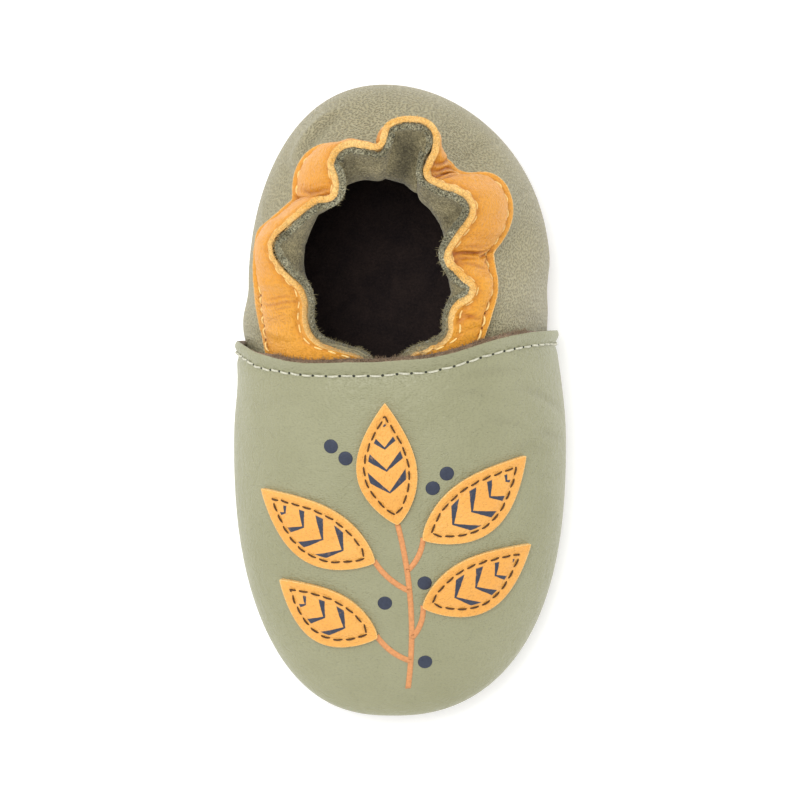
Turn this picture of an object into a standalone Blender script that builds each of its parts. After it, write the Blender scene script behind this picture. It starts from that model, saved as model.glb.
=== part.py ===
"""Soft leather baby slipper for the left foot: upper, gathered cuff, leaf applique, insole and outsole.

The toe points along -Y, the outer side of the foot is +X and the floor is z = 0.
Sizes are in millimetres and become metres where a mesh is written.
"""
import math
from collections import namedtuple

import bmesh
import bpy
import numpy as np

MM = 0.001

# Overall sizes of the shoe
LENGTH = 126.2
BALL_WIDTH = 66.4
HEEL_WIDTH = 60.2
THROAT_HEIGHT = 42.0
HEEL_HEIGHT = 52.0
BULGE_HEIGHT = 11.0
TOE_SPRING = 1.8

# Leather and the room left between pieces
LEATHER = 1.5
SOLE_THICKNESS = 1.7
INSOLE_THICKNESS = 1.5
LEAF_THICKNESS = 1.2
GAP = 0.3
CUFF_GAP = 0.4

# Plan outline: stations of the widest lines, roundness of the ends and lean of their tips
TOE_TIP = -LENGTH / 2
HEEL_TIP = LENGTH / 2
BALL_Y = -8.0
HEEL_Y = 24.5
TOE_POWER = 2.4
HEEL_POWER = 2.05
TOE_LEAN = -1.4
HEEL_LEAN = -3.1
TOE_LEAN_POWER = 6
HEEL_LEAN_POWER = 3

# Arch of the vamp: slope of its ridge and fullness of its sections
RIDGE_SLOPE = 0.25
ARCH_WIDTH_POWER = 2.6
ARCH_HEIGHT_POWER = 2.0
SPRING_START = -38.0

# Turned seam at the sole
SEAM_TURN = 4.0
SEAM_ANGLE = math.radians(80)
SEAM_HEIGHT = 2.0
SOLE_INSET = 2.4
INSOLE_INSET = 5.4

# Back edge of the vamp, in plan, and its lip over the quarter
EDGE_MID = 7.2
EDGE_X = (-36.0, -33.0, -30.0, -27.4, -22.0, -16.8, -10.0, -5.2, 0.0, 5.4, 11.0, 16.6, 21.7, 26.8, 31.6, 36.0)
EDGE_Y = (13.6, 12.1, 10.7, 9.6, 8.4, 7.9, 7.6, 7.7, 8.1, 8.9, 10.3, 11.7, 12.7, 13.4, 13.8, 14.0)
LIP_FLARE = 0.25
LIP_GROOVE = 0.35
STITCH_INSET = 3.0
LIP_REACH = 9.0
QUARTER_INSET = 1.0
WING_FRONT = 5.0

# Quarter's rib, as shares from the bulge up: foot of the cuff and the neck drawn in below the rim
FOOT_SHARE = 0.55
FOLD_INSET = 1.1
MEAN_REACH = 4.0
DROP_OUTER = 4.0
DROP_HEEL = 15.5
DROP_INNER = 8.0
DROP_START = 0.05
DROP_FULL = 0.33
RIB_RISE = 0.60
RIB_ARRIVE = 0.35
BAND_PULL = 0.30
BAND_LIFT = 0.5
WING_END = 0.06
WING_FADE = 0.17
NECK_X = -4.7
NECK_Y = 26.5
NECK_HALF_WIDTH = 15.8
NECK_HALF_LENGTH = 18.8
NECK_SHARE = 0.78
NECK_MOST = 9.0
NECK_EASE = 0.012

# Collar in plan, from the outer end of the throat round the heel to the inner end: rim and foot of the cuff
Fold = namedtuple("Fold", "kind x y foot_x foot_y")
COLLAR = [
    Fold("tucked", -1.2, 4.4, 15.0, 6.0),
    Fold("edge", 2.4, 8.6, 16.4, 11.1),
    Fold("flank", 5.9, 9.7, 16.9, 12.8),
    Fold("flank", 8.9, 11.1, 17.3, 14.1),
    Fold("flank", 10.3, 13.0, 17.7, 15.2),
    Fold("pinch", 10.5, 15.8, 18.1, 17.0),
    Fold("flank", 11.4, 17.9, 18.6, 18.8),
    Fold("flank", 14.0, 19.7, 19.0, 20.6),
    Fold("crest", 15.0, 21.9, 19.2, 22.4),
    Fold("flank", 14.2, 23.8, 19.1, 24.2),
    Fold("flank", 12.0, 25.7, 18.8, 25.9),
    Fold("pinch", 10.1, 28.5, 18.4, 28.1),
    Fold("flank", 10.7, 30.2, 18.5, 29.5),
    Fold("flank", 12.7, 33.1, 20.4, 32.1),
    Fold("flank", 14.4, 35.5, 21.7, 34.8),
    Fold("crest", 15.0, 37.9, 22.2, 37.8),
    Fold("flank", 14.0, 40.4, 21.7, 40.8),
    Fold("flank", 11.6, 42.1, 20.2, 43.4),
    Fold("flank", 8.5, 43.1, 17.6, 44.9),
    Fold("pinch", 5.9, 44.7, 13.5, 44.9),
    Fold("flank", 6.5, 46.5, 11.5, 45.5),
    Fold("flank", 7.6, 49.0, 9.9, 47.1),
    Fold("flank", 7.9, 51.3, 7.5, 48.9),
    Fold("flank", 7.4, 53.5, 6.1, 51.1),
    Fold("flank", 5.5, 55.4, 4.6, 52.7),
    Fold("crest", 2.4, 56.1, 2.0, 53.4),
    Fold("flank", -0.9, 55.7, -0.6, 53.1),
    Fold("flank", -3.1, 54.3, -2.4, 52.1),
    Fold("flank", -3.8, 52.3, -3.6, 50.9),
    Fold("pinch", -4.5, 50.7, -5.1, 50.1),
    Fold("flank", -7.3, 51.1, -8.1, 50.4),
    Fold("flank", -9.9, 51.3, -11.1, 50.7),
    Fold("crest", -12.4, 50.3, -14.5, 50.7),
    Fold("flank", -13.8, 48.4, -17.2, 49.8),
    Fold("flank", -14.3, 46.2, -19.4, 47.7),
    Fold("flank", -13.5, 43.8, -20.7, 44.9),
    Fold("flank", -13.3, 41.8, -21.1, 42.2),
    Fold("pinch", -14.2, 40.5, -21.2, 39.8),
    Fold("flank", -17.0, 40.0, -22.2, 38.8),
    Fold("flank", -20.1, 37.7, -24.2, 37.0),
    Fold("flank", -23.3, 34.8, -26.3, 35.2),
    Fold("flank", -25.4, 32.6, -28.0, 33.5),
    Fold("crest", -26.1, 30.0, -28.7, 30.3),
    Fold("flank", -25.1, 27.0, -28.9, 27.3),
    Fold("flank", -22.7, 24.0, -28.9, 24.4),
    Fold("flank", -20.3, 21.7, -28.7, 21.8),
    Fold("pinch", -19.3, 19.1, -28.5, 19.2),
    Fold("flank", -19.3, 15.8, -28.0, 15.8),
    Fold("flank", -18.4, 12.8, -27.6, 13.3),
    Fold("flank", -16.0, 10.6, -27.2, 11.3),
    Fold("edge", -11.4, 9.3, -26.8, 9.3),
    Fold("edge", -7.5, 7.9, -26.5, 7.3),
    Fold("tucked", -4.6, 4.4, -26.5, 5.0),
]

# Leaves of the applique, in plan: base and tip of the midrib, width across and sideways bend
LEAF_BASE_POWER = 0.85
LEAF_TIP_POWER = 0.9
Leaf = namedtuple("Leaf", "name base_x base_y tip_x tip_y width bend")
LEAVES = [
    Leaf("leaf_top", -0.5, -24.5, -3.0, -0.5, 12.0, 1.0),
    Leaf("leaf_outer_back", 4.5, -27.5, 24.5, -11.0, 11.5, -1.6),
    Leaf("leaf_inner_back", -5.0, -32.0, -27.0, -17.5, 11.5, 1.6),
    Leaf("leaf_outer_front", 4.5, -41.0, 25.5, -28.5, 11.0, -1.6),
    Leaf("leaf_inner_front", -4.5, -47.0, -23.5, -35.5, 10.5, 1.6),
]

# Mesh counts
QUARTER_AROUND = 90
QUARTER_RISE = 13
CUFF_AROUND = 90
CUFF_RISE = 4
VAMP_AROUND = 52
VAMP_RISE = 10
SIDE_SHARE = 0.11
LOWER_SHARE = 0.20
SOLE_ALONG = 44
SOLE_ACROSS = 4
LEAF_ALONG = 12
LEAF_ACROSS = 4
PATH_STEPS = 400
SPAN_STEPS = 16
EDGE_ROUNDS = 6
CUT_ROUNDS = 30

# Small steps for slopes and directions, as a length and as a share of a path, and the merge distance
SLOPE_STEP = 0.05
SHARE_STEP = 0.004
MERGE = 0.02


def smoothstep(start, end, value):
    share = min(max((value - start) / (end - start), 0.0), 1.0)
    return share * share * (3.0 - 2.0 * share)


def lerp(first, second, share):
    return first + (second - first) * share


def half_width(y):
    """Half of the upper's widest plan width at station y."""
    if y < BALL_Y:
        reach = min((BALL_Y - y) / (BALL_Y - TOE_TIP), 1.0)
        return BALL_WIDTH / 2 * (1.0 - reach ** TOE_POWER) ** (1.0 / TOE_POWER)
    if y > HEEL_Y:
        reach = min((y - HEEL_Y) / (HEEL_TIP - HEEL_Y), 1.0)
        return HEEL_WIDTH / 2 * (1.0 - reach ** HEEL_POWER) ** (1.0 / HEEL_POWER)
    return lerp(BALL_WIDTH, HEEL_WIDTH, smoothstep(BALL_Y, HEEL_Y, y)) / 2


def centre_line(y):
    """Sideways lean of the shoe's middle at station y."""
    if y < BALL_Y:
        return TOE_LEAN * min((BALL_Y - y) / (BALL_Y - TOE_TIP), 1.0) ** TOE_LEAN_POWER
    if y > HEEL_Y:
        return HEEL_LEAN * min((y - HEEL_Y) / (HEEL_TIP - HEEL_Y), 1.0) ** HEEL_LEAN_POWER
    return 0.0


def spring(y):
    """Lift of the sole toward the toe."""
    return TOE_SPRING * max((SPRING_START - y) / (SPRING_START - TOE_TIP), 0.0) ** 2


def vamp_edge(x):
    """Station of the vamp's back edge at the sideways place x."""
    return np.interp(x, VAMP_EDGE[:, 0], VAMP_EDGE[:, 1])


def crown(x, y, inset=0.0):
    """Height of the vamp's outer face over a plan place, or of a face set inside it."""
    side = abs(x - centre_line(y))
    if y < BALL_Y:
        across = side / (BALL_WIDTH / 2 - inset)
        along = (BALL_Y - y) / (BALL_Y - TOE_TIP - inset)
        radius = (across ** TOE_POWER + along ** TOE_POWER) ** (1.0 / TOE_POWER)
    else:
        radius = side / (half_width(y) - inset)
    base = BULGE_HEIGHT + spring(y)
    ridge = THROAT_HEIGHT + RIDGE_SLOPE * (y - EDGE_MID) - inset
    fall = max(1.0 - min(radius, 1.0) ** ARCH_WIDTH_POWER, 0.0)
    return base + (ridge - base) * fall ** (1.0 / ARCH_HEIGHT_POWER)


def crown_normal(x, y):
    """Unit normal of the vamp's outer face."""
    slope_x = (crown(x + SLOPE_STEP, y) - crown(x - SLOPE_STEP, y)) / (2 * SLOPE_STEP)
    slope_y = (crown(x, y + SLOPE_STEP) - crown(x, y - SLOPE_STEP)) / (2 * SLOPE_STEP)
    normal = np.array((-slope_x, -slope_y, 1.0))
    return normal / np.linalg.norm(normal)


class PlanPath:
    """A plan curve through dense points, read by its share of length."""

    def __init__(self, points):
        self.points = np.array(points)
        steps = np.linalg.norm(np.diff(self.points, axis=0), axis=1)
        self.share = np.concatenate(([0.0], np.cumsum(steps))) / steps.sum()

    def at(self, share):
        return np.array([np.interp(share, self.share, self.points[:, axis]) for axis in (0, 1)])

    def left_normal(self, share):
        ahead = self.at(min(share + SHARE_STEP, 1.0)) - self.at(max(share - SHARE_STEP, 0.0))
        ahead /= np.linalg.norm(ahead)
        return np.array((-ahead[1], ahead[0]))


def heel_path():
    """Outline of the quarter, from the outer wing round the heel to the inner wing."""
    side = [(half_width(y), y) for y in np.linspace(WING_FRONT, HEEL_Y, PATH_STEPS)]
    turns = np.linspace(0.0, math.pi, 2 * PATH_STEPS)[1:-1]
    heel = []
    for turn in turns:
        y = HEEL_Y + (HEEL_TIP - HEEL_Y) * math.sin(turn) ** (2.0 / HEEL_POWER)
        heel.append((math.copysign(half_width(y), math.cos(turn)) + centre_line(y), y))
    return PlanPath(side + heel + [(-x, y) for x, y in reversed(side)])


def toe_fan(share):
    """Outline of the vamp in front of the ball, from the inner side round the toe to the outer."""
    turn = share * math.pi
    across = abs(math.cos(turn)) ** (2.0 / TOE_POWER)
    along = math.sin(turn) ** (2.0 / TOE_POWER)
    y = BALL_Y - (BALL_Y - TOE_TIP) * along
    return np.array((-math.copysign(BALL_WIDTH / 2 * across, math.cos(turn)) + centre_line(y), y))


def catmull_rom(knots):
    """Dense smooth curve through the knots."""
    knots = np.array(knots)
    ends = np.vstack((2 * knots[0] - knots[1], knots, 2 * knots[-1] - knots[-2]))
    dense = []
    for before, start, end, after in zip(ends, ends[1:], ends[2:], ends[3:]):
        for t in np.arange(SPAN_STEPS) / SPAN_STEPS:
            bend = (2 * before - 5 * start + 4 * end - after) * t ** 2
            twist = (3 * start - before - 3 * end + after) * t ** 3
            dense.append((2 * start + (end - before) * t + bend + twist) / 2)
    dense.append(knots[-1])
    return np.array(dense)


VAMP_EDGE = catmull_rom(list(zip(EDGE_X, EDGE_Y)))


def mean_line(points, reach):
    """The points averaged along the curve over a bell of the given reach, with their ends kept."""
    steps = np.linalg.norm(np.diff(points, axis=0), axis=1)
    place = np.concatenate(([0.0], np.cumsum(steps)))
    averaged = []
    for here in place:
        room = min(reach, here / 2 + MERGE, (place[-1] - here) / 2 + MERGE)
        weight = np.exp(-0.5 * ((place - here) / room) ** 2)
        averaged.append((points * weight[:, None]).sum(axis=0) / weight.sum())
    return np.array(averaged)


def bezier(start, leave, arrive, end, share):
    rest = 1.0 - share
    first = rest ** 3 * start + 3 * rest * rest * share * leave
    return first + 3 * rest * share * share * arrive + share ** 3 * end


def unit(vector):
    return vector / np.linalg.norm(vector)


class Quarter:
    """The heel quarter's outer face: u runs round the heel, v up from the bulge to the rim."""

    def __init__(self):
        self.outline = heel_path()
        lines = catmull_rom([fold[1:] for fold in COLLAR])
        place = PlanPath((lines[:, :2] + lines[:, 2:]) / 2).share
        even = np.linspace(0.0, 1.0, PATH_STEPS)
        lines = np.stack([np.interp(even, place, lines[:, axis]) for axis in range(4)], axis=1)
        self.rim, self.foot = (self.set_in(line) for line in (lines[:, :2], lines[:, 2:]))
        self.place = PlanPath(mean_line((self.rim + self.foot) / 2, MEAN_REACH)).share
        steps = np.array([self.neck_step(u) for u in self.place])
        bell = np.exp(-0.5 * ((self.place[:, None] - self.place[None, :]) / NECK_EASE) ** 2)
        self.draw_in = bell @ steps / bell.sum(axis=1)[:, None]

    @staticmethod
    def set_in(line):
        """A line of the cuff's face moved inward, to the face that the cuff lies on."""
        ahead = np.gradient(line, axis=0)
        ahead /= np.linalg.norm(ahead, axis=1)[:, None]
        return line + FOLD_INSET * np.stack((-ahead[:, 1], ahead[:, 0]), axis=1)

    def read(self, curve, u):
        return np.array([np.interp(u, self.place, curve[:, axis]) for axis in (0, 1)])

    def wing(self, u):
        """One where the quarter lies under the vamp, fading to none behind it."""
        return 1.0 - smoothstep(WING_END, WING_FADE, min(u, 1.0 - u))

    def lower(self, u, turn):
        """Wall below the bulge, turned in toward the sole."""
        inset = QUARTER_INSET * self.wing(u)
        return seam_wall(self.outline.at(u), -self.outline.left_normal(u), turn, inset)

    def sleeve(self, u, v):
        """Folded form above the bulge, from the bulge past the cuff's foot to the rim."""
        wing = self.wing(u)
        base = self.outline.at(u) + self.outline.left_normal(u) * QUARTER_INSET * wing
        foot = self.read(self.foot, u)
        rim = self.read(self.rim, u)
        rim_height = lerp(THROAT_HEIGHT, HEEL_HEIGHT, (rim[1] - EDGE_MID) / (HEEL_TIP - LEATHER - EDGE_MID))
        from_throat = smoothstep(DROP_START, DROP_FULL, min(u, 1.0 - u))
        drop = lerp(DROP_OUTER if u < 0.5 else DROP_INNER, DROP_HEEL, from_throat)
        start = np.array((*base, BULGE_HEIGHT))
        middle = np.array((*foot, rim_height - drop))
        end = np.array((*rim, rim_height))
        up = np.array((0.0, 0.0, 1.0))
        first, second = middle - start, end - middle
        through = unit(unit(first) + unit(second))
        top = unit(unit(second) + BAND_LIFT * up)
        low = min(v / FOOT_SHARE, 1.0)
        high = max((v - FOOT_SHARE) / (1.0 - FOOT_SHARE), 0.0)
        if v < FOOT_SHARE:
            leave = start + up * RIB_RISE * first[2]
            free = bezier(start, leave, middle - through * RIB_ARRIVE * np.linalg.norm(first), middle, low)
        else:
            pull = BAND_PULL * np.linalg.norm(second)
            free = bezier(middle, middle + through * pull, end - top * pull, end, high)
        if wing == 0.0:
            return free
        gone = 1.0 - max(math.cos(low * math.pi / 2), 0.0) ** (2.0 / ARCH_WIDTH_POWER)
        plan = lerp(lerp(base, foot, gone), rim, high)
        under = np.array((*plan, crown(plan[0], plan[1], QUARTER_INSET)))
        return lerp(free, under, wing)

    def neck_step(self, u):
        """Plan step from the sleeve to the neck, none where a pinch already lies inside it."""
        start = self.sleeve(u, NECK_SHARE)[:2] - (NECK_X, NECK_Y)
        size = math.hypot(start[0] / NECK_HALF_WIDTH, start[1] / NECK_HALF_LENGTH)
        if size <= 1.0:
            return np.zeros(2)
        step = start / size - start
        return step * min(NECK_MOST / np.linalg.norm(step), 1.0) * (1.0 - self.wing(u))

    def wall(self, u, v):
        """Wall above the bulge, drawn in to the neck and out again to the rim."""
        point = self.sleeve(u, v)
        if v > FOOT_SHARE:
            share = smoothstep(FOOT_SHARE, NECK_SHARE, v) * smoothstep(1.0, NECK_SHARE, v)
            point[:2] += self.read(self.draw_in, u) * share
        return point

    def face(self, u, t):
        if t < LOWER_SHARE:
            return self.lower(u, 1.0 - t / LOWER_SHARE)
        return self.wall(u, (t - LOWER_SHARE) / (1.0 - LOWER_SHARE))


def seam_wall(place, outward, turn, inset):
    """Wall between the bulge, turn 0, and the sole seam, turn 1, set inside by the inset."""
    angle = SEAM_ANGLE * turn
    height = BULGE_HEIGHT - SEAM_HEIGHT
    normal = np.array((height * math.cos(angle), -SEAM_TURN * math.sin(angle)))
    normal /= np.linalg.norm(normal)
    inward = SEAM_TURN * (1.0 - math.cos(angle)) + inset * normal[0]
    z = BULGE_HEIGHT - height * math.sin(angle) - inset * normal[1]
    plan = place - outward * inward
    return np.array((plan[0], plan[1], z + spring(place[1])))


def vamp_face(share, t):
    """The vamp's outer face: share runs from the inner corner round the toe, t from the seam to the ridge."""
    rise = max((t - LOWER_SHARE) / (1.0 - LOWER_SHARE), 0.0)
    out = max(math.cos(rise * math.pi / 2), 0.0) ** (2.0 / ARCH_WIDTH_POWER)
    side = min(share, 1.0 - share)
    sign = -1.0 if share < 0.5 else 1.0
    if side < SIDE_SHARE:
        along = 1.0 - side / SIDE_SHARE
        y = BALL_Y
        for _ in range(EDGE_ROUNDS):
            x = sign * out * half_width(y)
            y = lerp(BALL_Y, vamp_edge(x), along)
        place = np.array((sign * half_width(y), y))
        outward = np.array((sign, 0.0))
        plan = np.array((x, y))
    else:
        turn = (share - SIDE_SHARE) / (1.0 - 2 * SIDE_SHARE)
        place = toe_fan(turn)
        ahead = toe_fan(min(turn + SHARE_STEP, 1.0)) - toe_fan(max(turn - SHARE_STEP, 0.0))
        outward = np.array((ahead[1], -ahead[0])) / np.linalg.norm(ahead)
        hub = np.array((0.0, BALL_Y))
        plan = hub + (place - hub) * out
        plan[0] += centre_line(plan[1]) - centre_line(place[1]) * out
    normal = np.array((outward[0], outward[1], 0.0))
    if t < LOWER_SHARE:
        point = seam_wall(place, outward, 1.0 - t / LOWER_SHARE, 0.0)
    else:
        point = np.array((plan[0], plan[1], crown(plan[0], plan[1])))
        if rise > SHARE_STEP:
            normal = crown_normal(plan[0], plan[1])
    back = vamp_edge(plan[0]) - plan[1]
    flare = LIP_FLARE * (1.0 - smoothstep(0.0, STITCH_INSET, back))
    groove = LIP_GROOVE * smoothstep(0.0, STITCH_INSET, back) * (1.0 - smoothstep(STITCH_INSET, LIP_REACH, back))
    return point + normal * (flare - groove)


def sheet(name, along, across, place, collection):
    """A grid laid over the surface that place() gives for two shares from 0 to 1."""
    shape = bmesh.new()
    bmesh.ops.create_grid(shape, x_segments=along, y_segments=across, size=0.5)
    for vert in shape.verts:
        vert.co = place(min(max(vert.co.x + 0.5, 0.0), 1.0), min(max(vert.co.y + 0.5, 0.0), 1.0)) * MM
    bmesh.ops.remove_doubles(shape, verts=shape.verts, dist=MERGE * MM)
    bmesh.ops.recalc_face_normals(shape, faces=shape.faces)
    mesh = bpy.data.meshes.new(name)
    shape.to_mesh(mesh)
    shape.free()
    part = bpy.data.objects.new(name, mesh)
    collection.objects.link(part)
    return part


def face_toward(part, outward):
    """Turns the sheet so that its normals point the way that outward() gives at each face."""
    shape = bmesh.new()
    shape.from_mesh(part.data)
    shape.normal_update()
    agree = sum(face.normal.dot(outward(face.calc_center_median())) * face.calc_area() for face in shape.faces)
    if agree < 0.0:
        bmesh.ops.reverse_faces(shape, faces=shape.faces)
    shape.to_mesh(part.data)
    shape.free()


def thicken(part, thickness, offset):
    solidify = part.modifiers.new("Thickness", "SOLIDIFY")
    solidify.thickness = thickness * MM
    solidify.offset = offset
    solidify.use_even_offset = True
    solidify.use_quality_normals = True
    solidify.use_rim = True


def round_edges(part, width):
    bevel = part.modifiers.new("Edges", "BEVEL")
    bevel.width = width * MM
    bevel.segments = 2
    bevel.limit_method = "ANGLE"
    bevel.angle_limit = math.radians(50)


def from_axis(point):
    """Outward direction, away from the middle of the shoe."""
    direction = point.copy()
    direction.z -= BULGE_HEIGHT / 2 * MM
    direction.y *= BALL_WIDTH / LENGTH
    return direction


def leather(part, name, colour, roughness):
    material = bpy.data.materials.new(name)
    material.use_nodes = True
    shader = material.node_tree.nodes["Principled BSDF"]
    shader.inputs["Base Color"].default_value = (*colour, 1.0)
    shader.inputs["Roughness"].default_value = roughness
    part.data.materials.append(material)


def make_upper(parts, cutters, quarter):
    """Vamp and quarter lapped into one hollow shell, open at the collar and over the sole."""
    upper = sheet("upper", VAMP_AROUND, VAMP_RISE, vamp_face, parts)
    face_toward(upper, from_axis)
    thicken(upper, LEATHER, -1.0)
    heel = sheet("quarter_form", QUARTER_AROUND, QUARTER_RISE, quarter.face, cutters)
    face_toward(heel, from_axis)
    thicken(heel, LEATHER, -1.0)
    heel.hide_render = True
    heel.display_type = "WIRE"
    join = upper.modifiers.new("Lap", "BOOLEAN")
    join.operation = "UNION"
    join.solver = "EXACT"
    join.object = heel
    leather(upper, "sage leather", (0.36, 0.36, 0.22), 0.5)


def make_cuff(parts, quarter):
    """Gathered band on the outside of the collar, ending at the vamp's edge."""

    def behind(u, v):
        x, y, _ = quarter.sleeve(u, v)
        return y - vamp_edge(x) - LEATHER

    def cut(v, near, far):
        for _ in range(CUT_ROUNDS):
            middle = (near + far) / 2
            near, far = (near, middle) if behind(middle, v) > 0.0 else (middle, far)
        return far

    ends = {}

    def face(share, t):
        if t not in ends:
            level = lerp(FOOT_SHARE, 1.0, t)
            ends[t] = (cut(level, 0.0, 0.3), cut(level, 1.0, 0.7))
        u = lerp(*ends[t], share)
        v = lerp(FOOT_SHARE, 1.0, t)
        round_heel = quarter.sleeve(u + SHARE_STEP, v) - quarter.sleeve(u - SHARE_STEP, v)
        rise = quarter.sleeve(u, v) - quarter.sleeve(u, v - SHARE_STEP)
        normal = np.cross(round_heel, rise)
        return quarter.sleeve(u, v) + normal / np.linalg.norm(normal) * CUFF_GAP

    cuff = sheet("collar_cuff", CUFF_AROUND, CUFF_RISE, face, parts)
    face_toward(cuff, from_axis)
    thicken(cuff, LEATHER, 1.0)
    leather(cuff, "orange leather", (0.86, 0.42, 0.09), 0.5)


def make_leaf(leaf, parts):
    """A leaf cut from leather, lying on the vamp."""
    base = np.array((leaf.base_x, leaf.base_y))
    reach = np.array((leaf.tip_x, leaf.tip_y)) - base
    across = np.array((-reach[1], reach[0])) / np.linalg.norm(reach)

    def face(along, side):
        along = (1.0 - math.cos(along * math.pi)) / 2
        wide = leaf.width / 2 * math.sin(math.pi * along ** LEAF_BASE_POWER) ** LEAF_TIP_POWER
        bend = leaf.bend * 4 * along * (1.0 - along)
        x, y = base + reach * along + across * ((2 * side - 1) * wide + bend)
        return np.array((x, y, crown(x, y))) + crown_normal(x, y) * GAP

    part = sheet(leaf.name, LEAF_ALONG, LEAF_ACROSS, face, parts)
    face_toward(part, from_axis)
    thicken(part, LEAF_THICKNESS, 1.0)
    leather(part, leaf.name + " leather", (0.93, 0.47, 0.11), 0.5)


def foot_sheet(name, inset, height, parts):
    """A flat piece with the shoe's outline, set in from it, that follows the toe spring."""
    scale = np.array((1.0 - inset / (BALL_WIDTH / 2), 1.0 - inset / HEEL_TIP))

    def face(along, side):
        y = lerp(TOE_TIP, HEEL_TIP, (1.0 - math.cos(along * math.pi)) / 2)
        x = centre_line(y) + (2 * side - 1) * half_width(y)
        return np.array((x * scale[0], y * scale[1], height + spring(y)))

    return sheet(name, SOLE_ALONG, SOLE_ACROSS, face, parts)


def make_soles(parts):
    outsole = foot_sheet("outsole", SOLE_INSET, SOLE_THICKNESS, parts)
    insole = foot_sheet("insole", INSOLE_INSET, SOLE_THICKNESS + GAP + INSOLE_THICKNESS, parts)
    for part, thickness in ((outsole, SOLE_THICKNESS), (insole, INSOLE_THICKNESS)):
        face_toward(part, lambda point: part.matrix_world.to_3x3().col[2])
        thicken(part, thickness, -1.0)
    round_edges(outsole, 0.5)
    leather(outsole, "taupe suede", (0.33, 0.25, 0.19), 0.9)
    leather(insole, "dark lining", (0.016, 0.011, 0.009), 0.8)


def main():
    for old in list(bpy.data.objects):
        bpy.data.objects.remove(old)
    parts = bpy.data.collections.new("baby_slipper")
    cutters = bpy.data.collections.new("cutters")
    for collection in (parts, cutters):
        bpy.context.scene.collection.children.link(collection)
    quarter = Quarter()
    make_soles(parts)
    make_upper(parts, cutters, quarter)
    make_cuff(parts, quarter)
    for leaf in LEAVES:
        make_leaf(leaf, parts)


main()
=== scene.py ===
"""Baby slipper for the left foot: leather upper, gathered cuff, leaf applique, stitching and a soft studio.

The toe points along -Y, the outer side of the foot is +X and the floor is z = 0.
Shapes are worked out in millimetres, as in the part's own source, and become metres where a mesh is written.
"""
import math
from collections import namedtuple

import bmesh
import bpy
import numpy as np
from mathutils import Matrix, Vector


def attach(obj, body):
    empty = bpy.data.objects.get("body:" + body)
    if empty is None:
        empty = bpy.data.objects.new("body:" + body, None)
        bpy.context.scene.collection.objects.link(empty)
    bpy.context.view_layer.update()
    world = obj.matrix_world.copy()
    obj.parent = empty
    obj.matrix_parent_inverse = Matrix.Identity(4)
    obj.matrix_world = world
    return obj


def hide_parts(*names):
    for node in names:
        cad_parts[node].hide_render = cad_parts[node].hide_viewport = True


bl_info = {
    "name": "Baby slipper",
    "version": (1, 0, 0),
    "blender": (4, 5, 0),
    "location": "View3D > Sidebar > Slipper",
    "description": "Dresses the soft leather baby slipper and sets it on a pale stage",
    "category": "Object",
}

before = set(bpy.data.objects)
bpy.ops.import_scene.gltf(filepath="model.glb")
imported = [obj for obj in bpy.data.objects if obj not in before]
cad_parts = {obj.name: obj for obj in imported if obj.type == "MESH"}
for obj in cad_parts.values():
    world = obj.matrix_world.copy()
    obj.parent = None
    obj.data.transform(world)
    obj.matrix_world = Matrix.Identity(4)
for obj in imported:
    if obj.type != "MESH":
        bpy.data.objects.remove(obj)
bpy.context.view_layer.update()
BODY = "root"
MM = 0.001

# Overall sizes of the shoe
LENGTH = 126.2
BALL_WIDTH = 66.4
HEEL_WIDTH = 60.2
THROAT_HEIGHT = 42.0
HEEL_HEIGHT = 52.0
BULGE_HEIGHT = 11.0
TOE_SPRING = 1.8
SOLE_THICKNESS = 1.7
INSOLE_THICKNESS = 1.5
GAP = 0.3

# Plan outline: stations of the widest lines, roundness of the ends and lean of their tips
TOE_TIP = -LENGTH / 2
HEEL_TIP = LENGTH / 2
BALL_Y = -8.0
HEEL_Y = 24.5
TOE_POWER = 2.4
HEEL_POWER = 2.05
TOE_LEAN = -1.4
HEEL_LEAN = -3.1
TOE_LEAN_POWER = 6
HEEL_LEAN_POWER = 3

# Arch of the vamp: slope of its ridge and fullness of its sections
RIDGE_SLOPE = 0.25
ARCH_WIDTH_POWER = 2.6
ARCH_HEIGHT_POWER = 2.0
SPRING_START = -38.0

# Turned seam at the sole
SEAM_TURN = 4.0
SEAM_ANGLE = math.radians(80)
SEAM_HEIGHT = 2.0
PUCKER = 0.5
PUCKER_BAND = (0.1, 0.4, 0.5, 0.95)
PUCKER_BEATS = 5
PUCKER_DRIFT = 0.8
VAMP_PUCKERS = 52
VAMP_PUCKER_ENDS = (0.06, 0.16)
VAMP_CALM = 0.7
QUARTER_PUCKERS = 34
SOLE_INSET = 2.4
INSOLE_INSET = 5.4

# Back edge of the vamp, in plan: its lip, its seam and what is tucked under it
EDGE_MID = 7.2
EDGE_X = (-36.0, -33.0, -30.0, -27.4, -22.0, -16.8, -10.0, -5.2, 0.0, 5.4, 11.0, 16.6, 21.7, 26.8, 31.6, 36.0)
EDGE_Y = (15.2, 13.2, 10.9, 9.2, 7.7, 7.3, 7.5, 7.5, 7.9, 8.3, 9.5, 11.3, 12.7, 13.6, 14.0, 14.0)
LIP_WIDTH = 4.0
FLARE_INNER = 2.2
FLARE_INNER_WIDTH = 13.0
FLARE_OUTER = 1.5
FLARE_OUTER_WIDTH = 5.0
LIP_CORNER = 0.9
CORNER_WIDTH = 1.7
LIP_SIDE = 0.80
SEAM_INSET = 2.75
SEAM_WIDER = 0.6
SEAM_WIDER_START = -24.0
SEAM_WIDER_FULL = -31.0
SEAM_NARROWER = 0.4
SEAM_NARROW_X = -21.0
SEAM_NARROW_WIDTH = 6.0
SEAM_DENT = 0.5
SEAM_DENT_WIDTH = 1.1
SEAM_HOLLOW = 0.45
SEAM_HOLLOW_WIDTH = 4.5
TUCK_FADE = 5.0
QUARTER_TUCK = 1.75
CUFF_TUCK = 1.6
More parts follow.
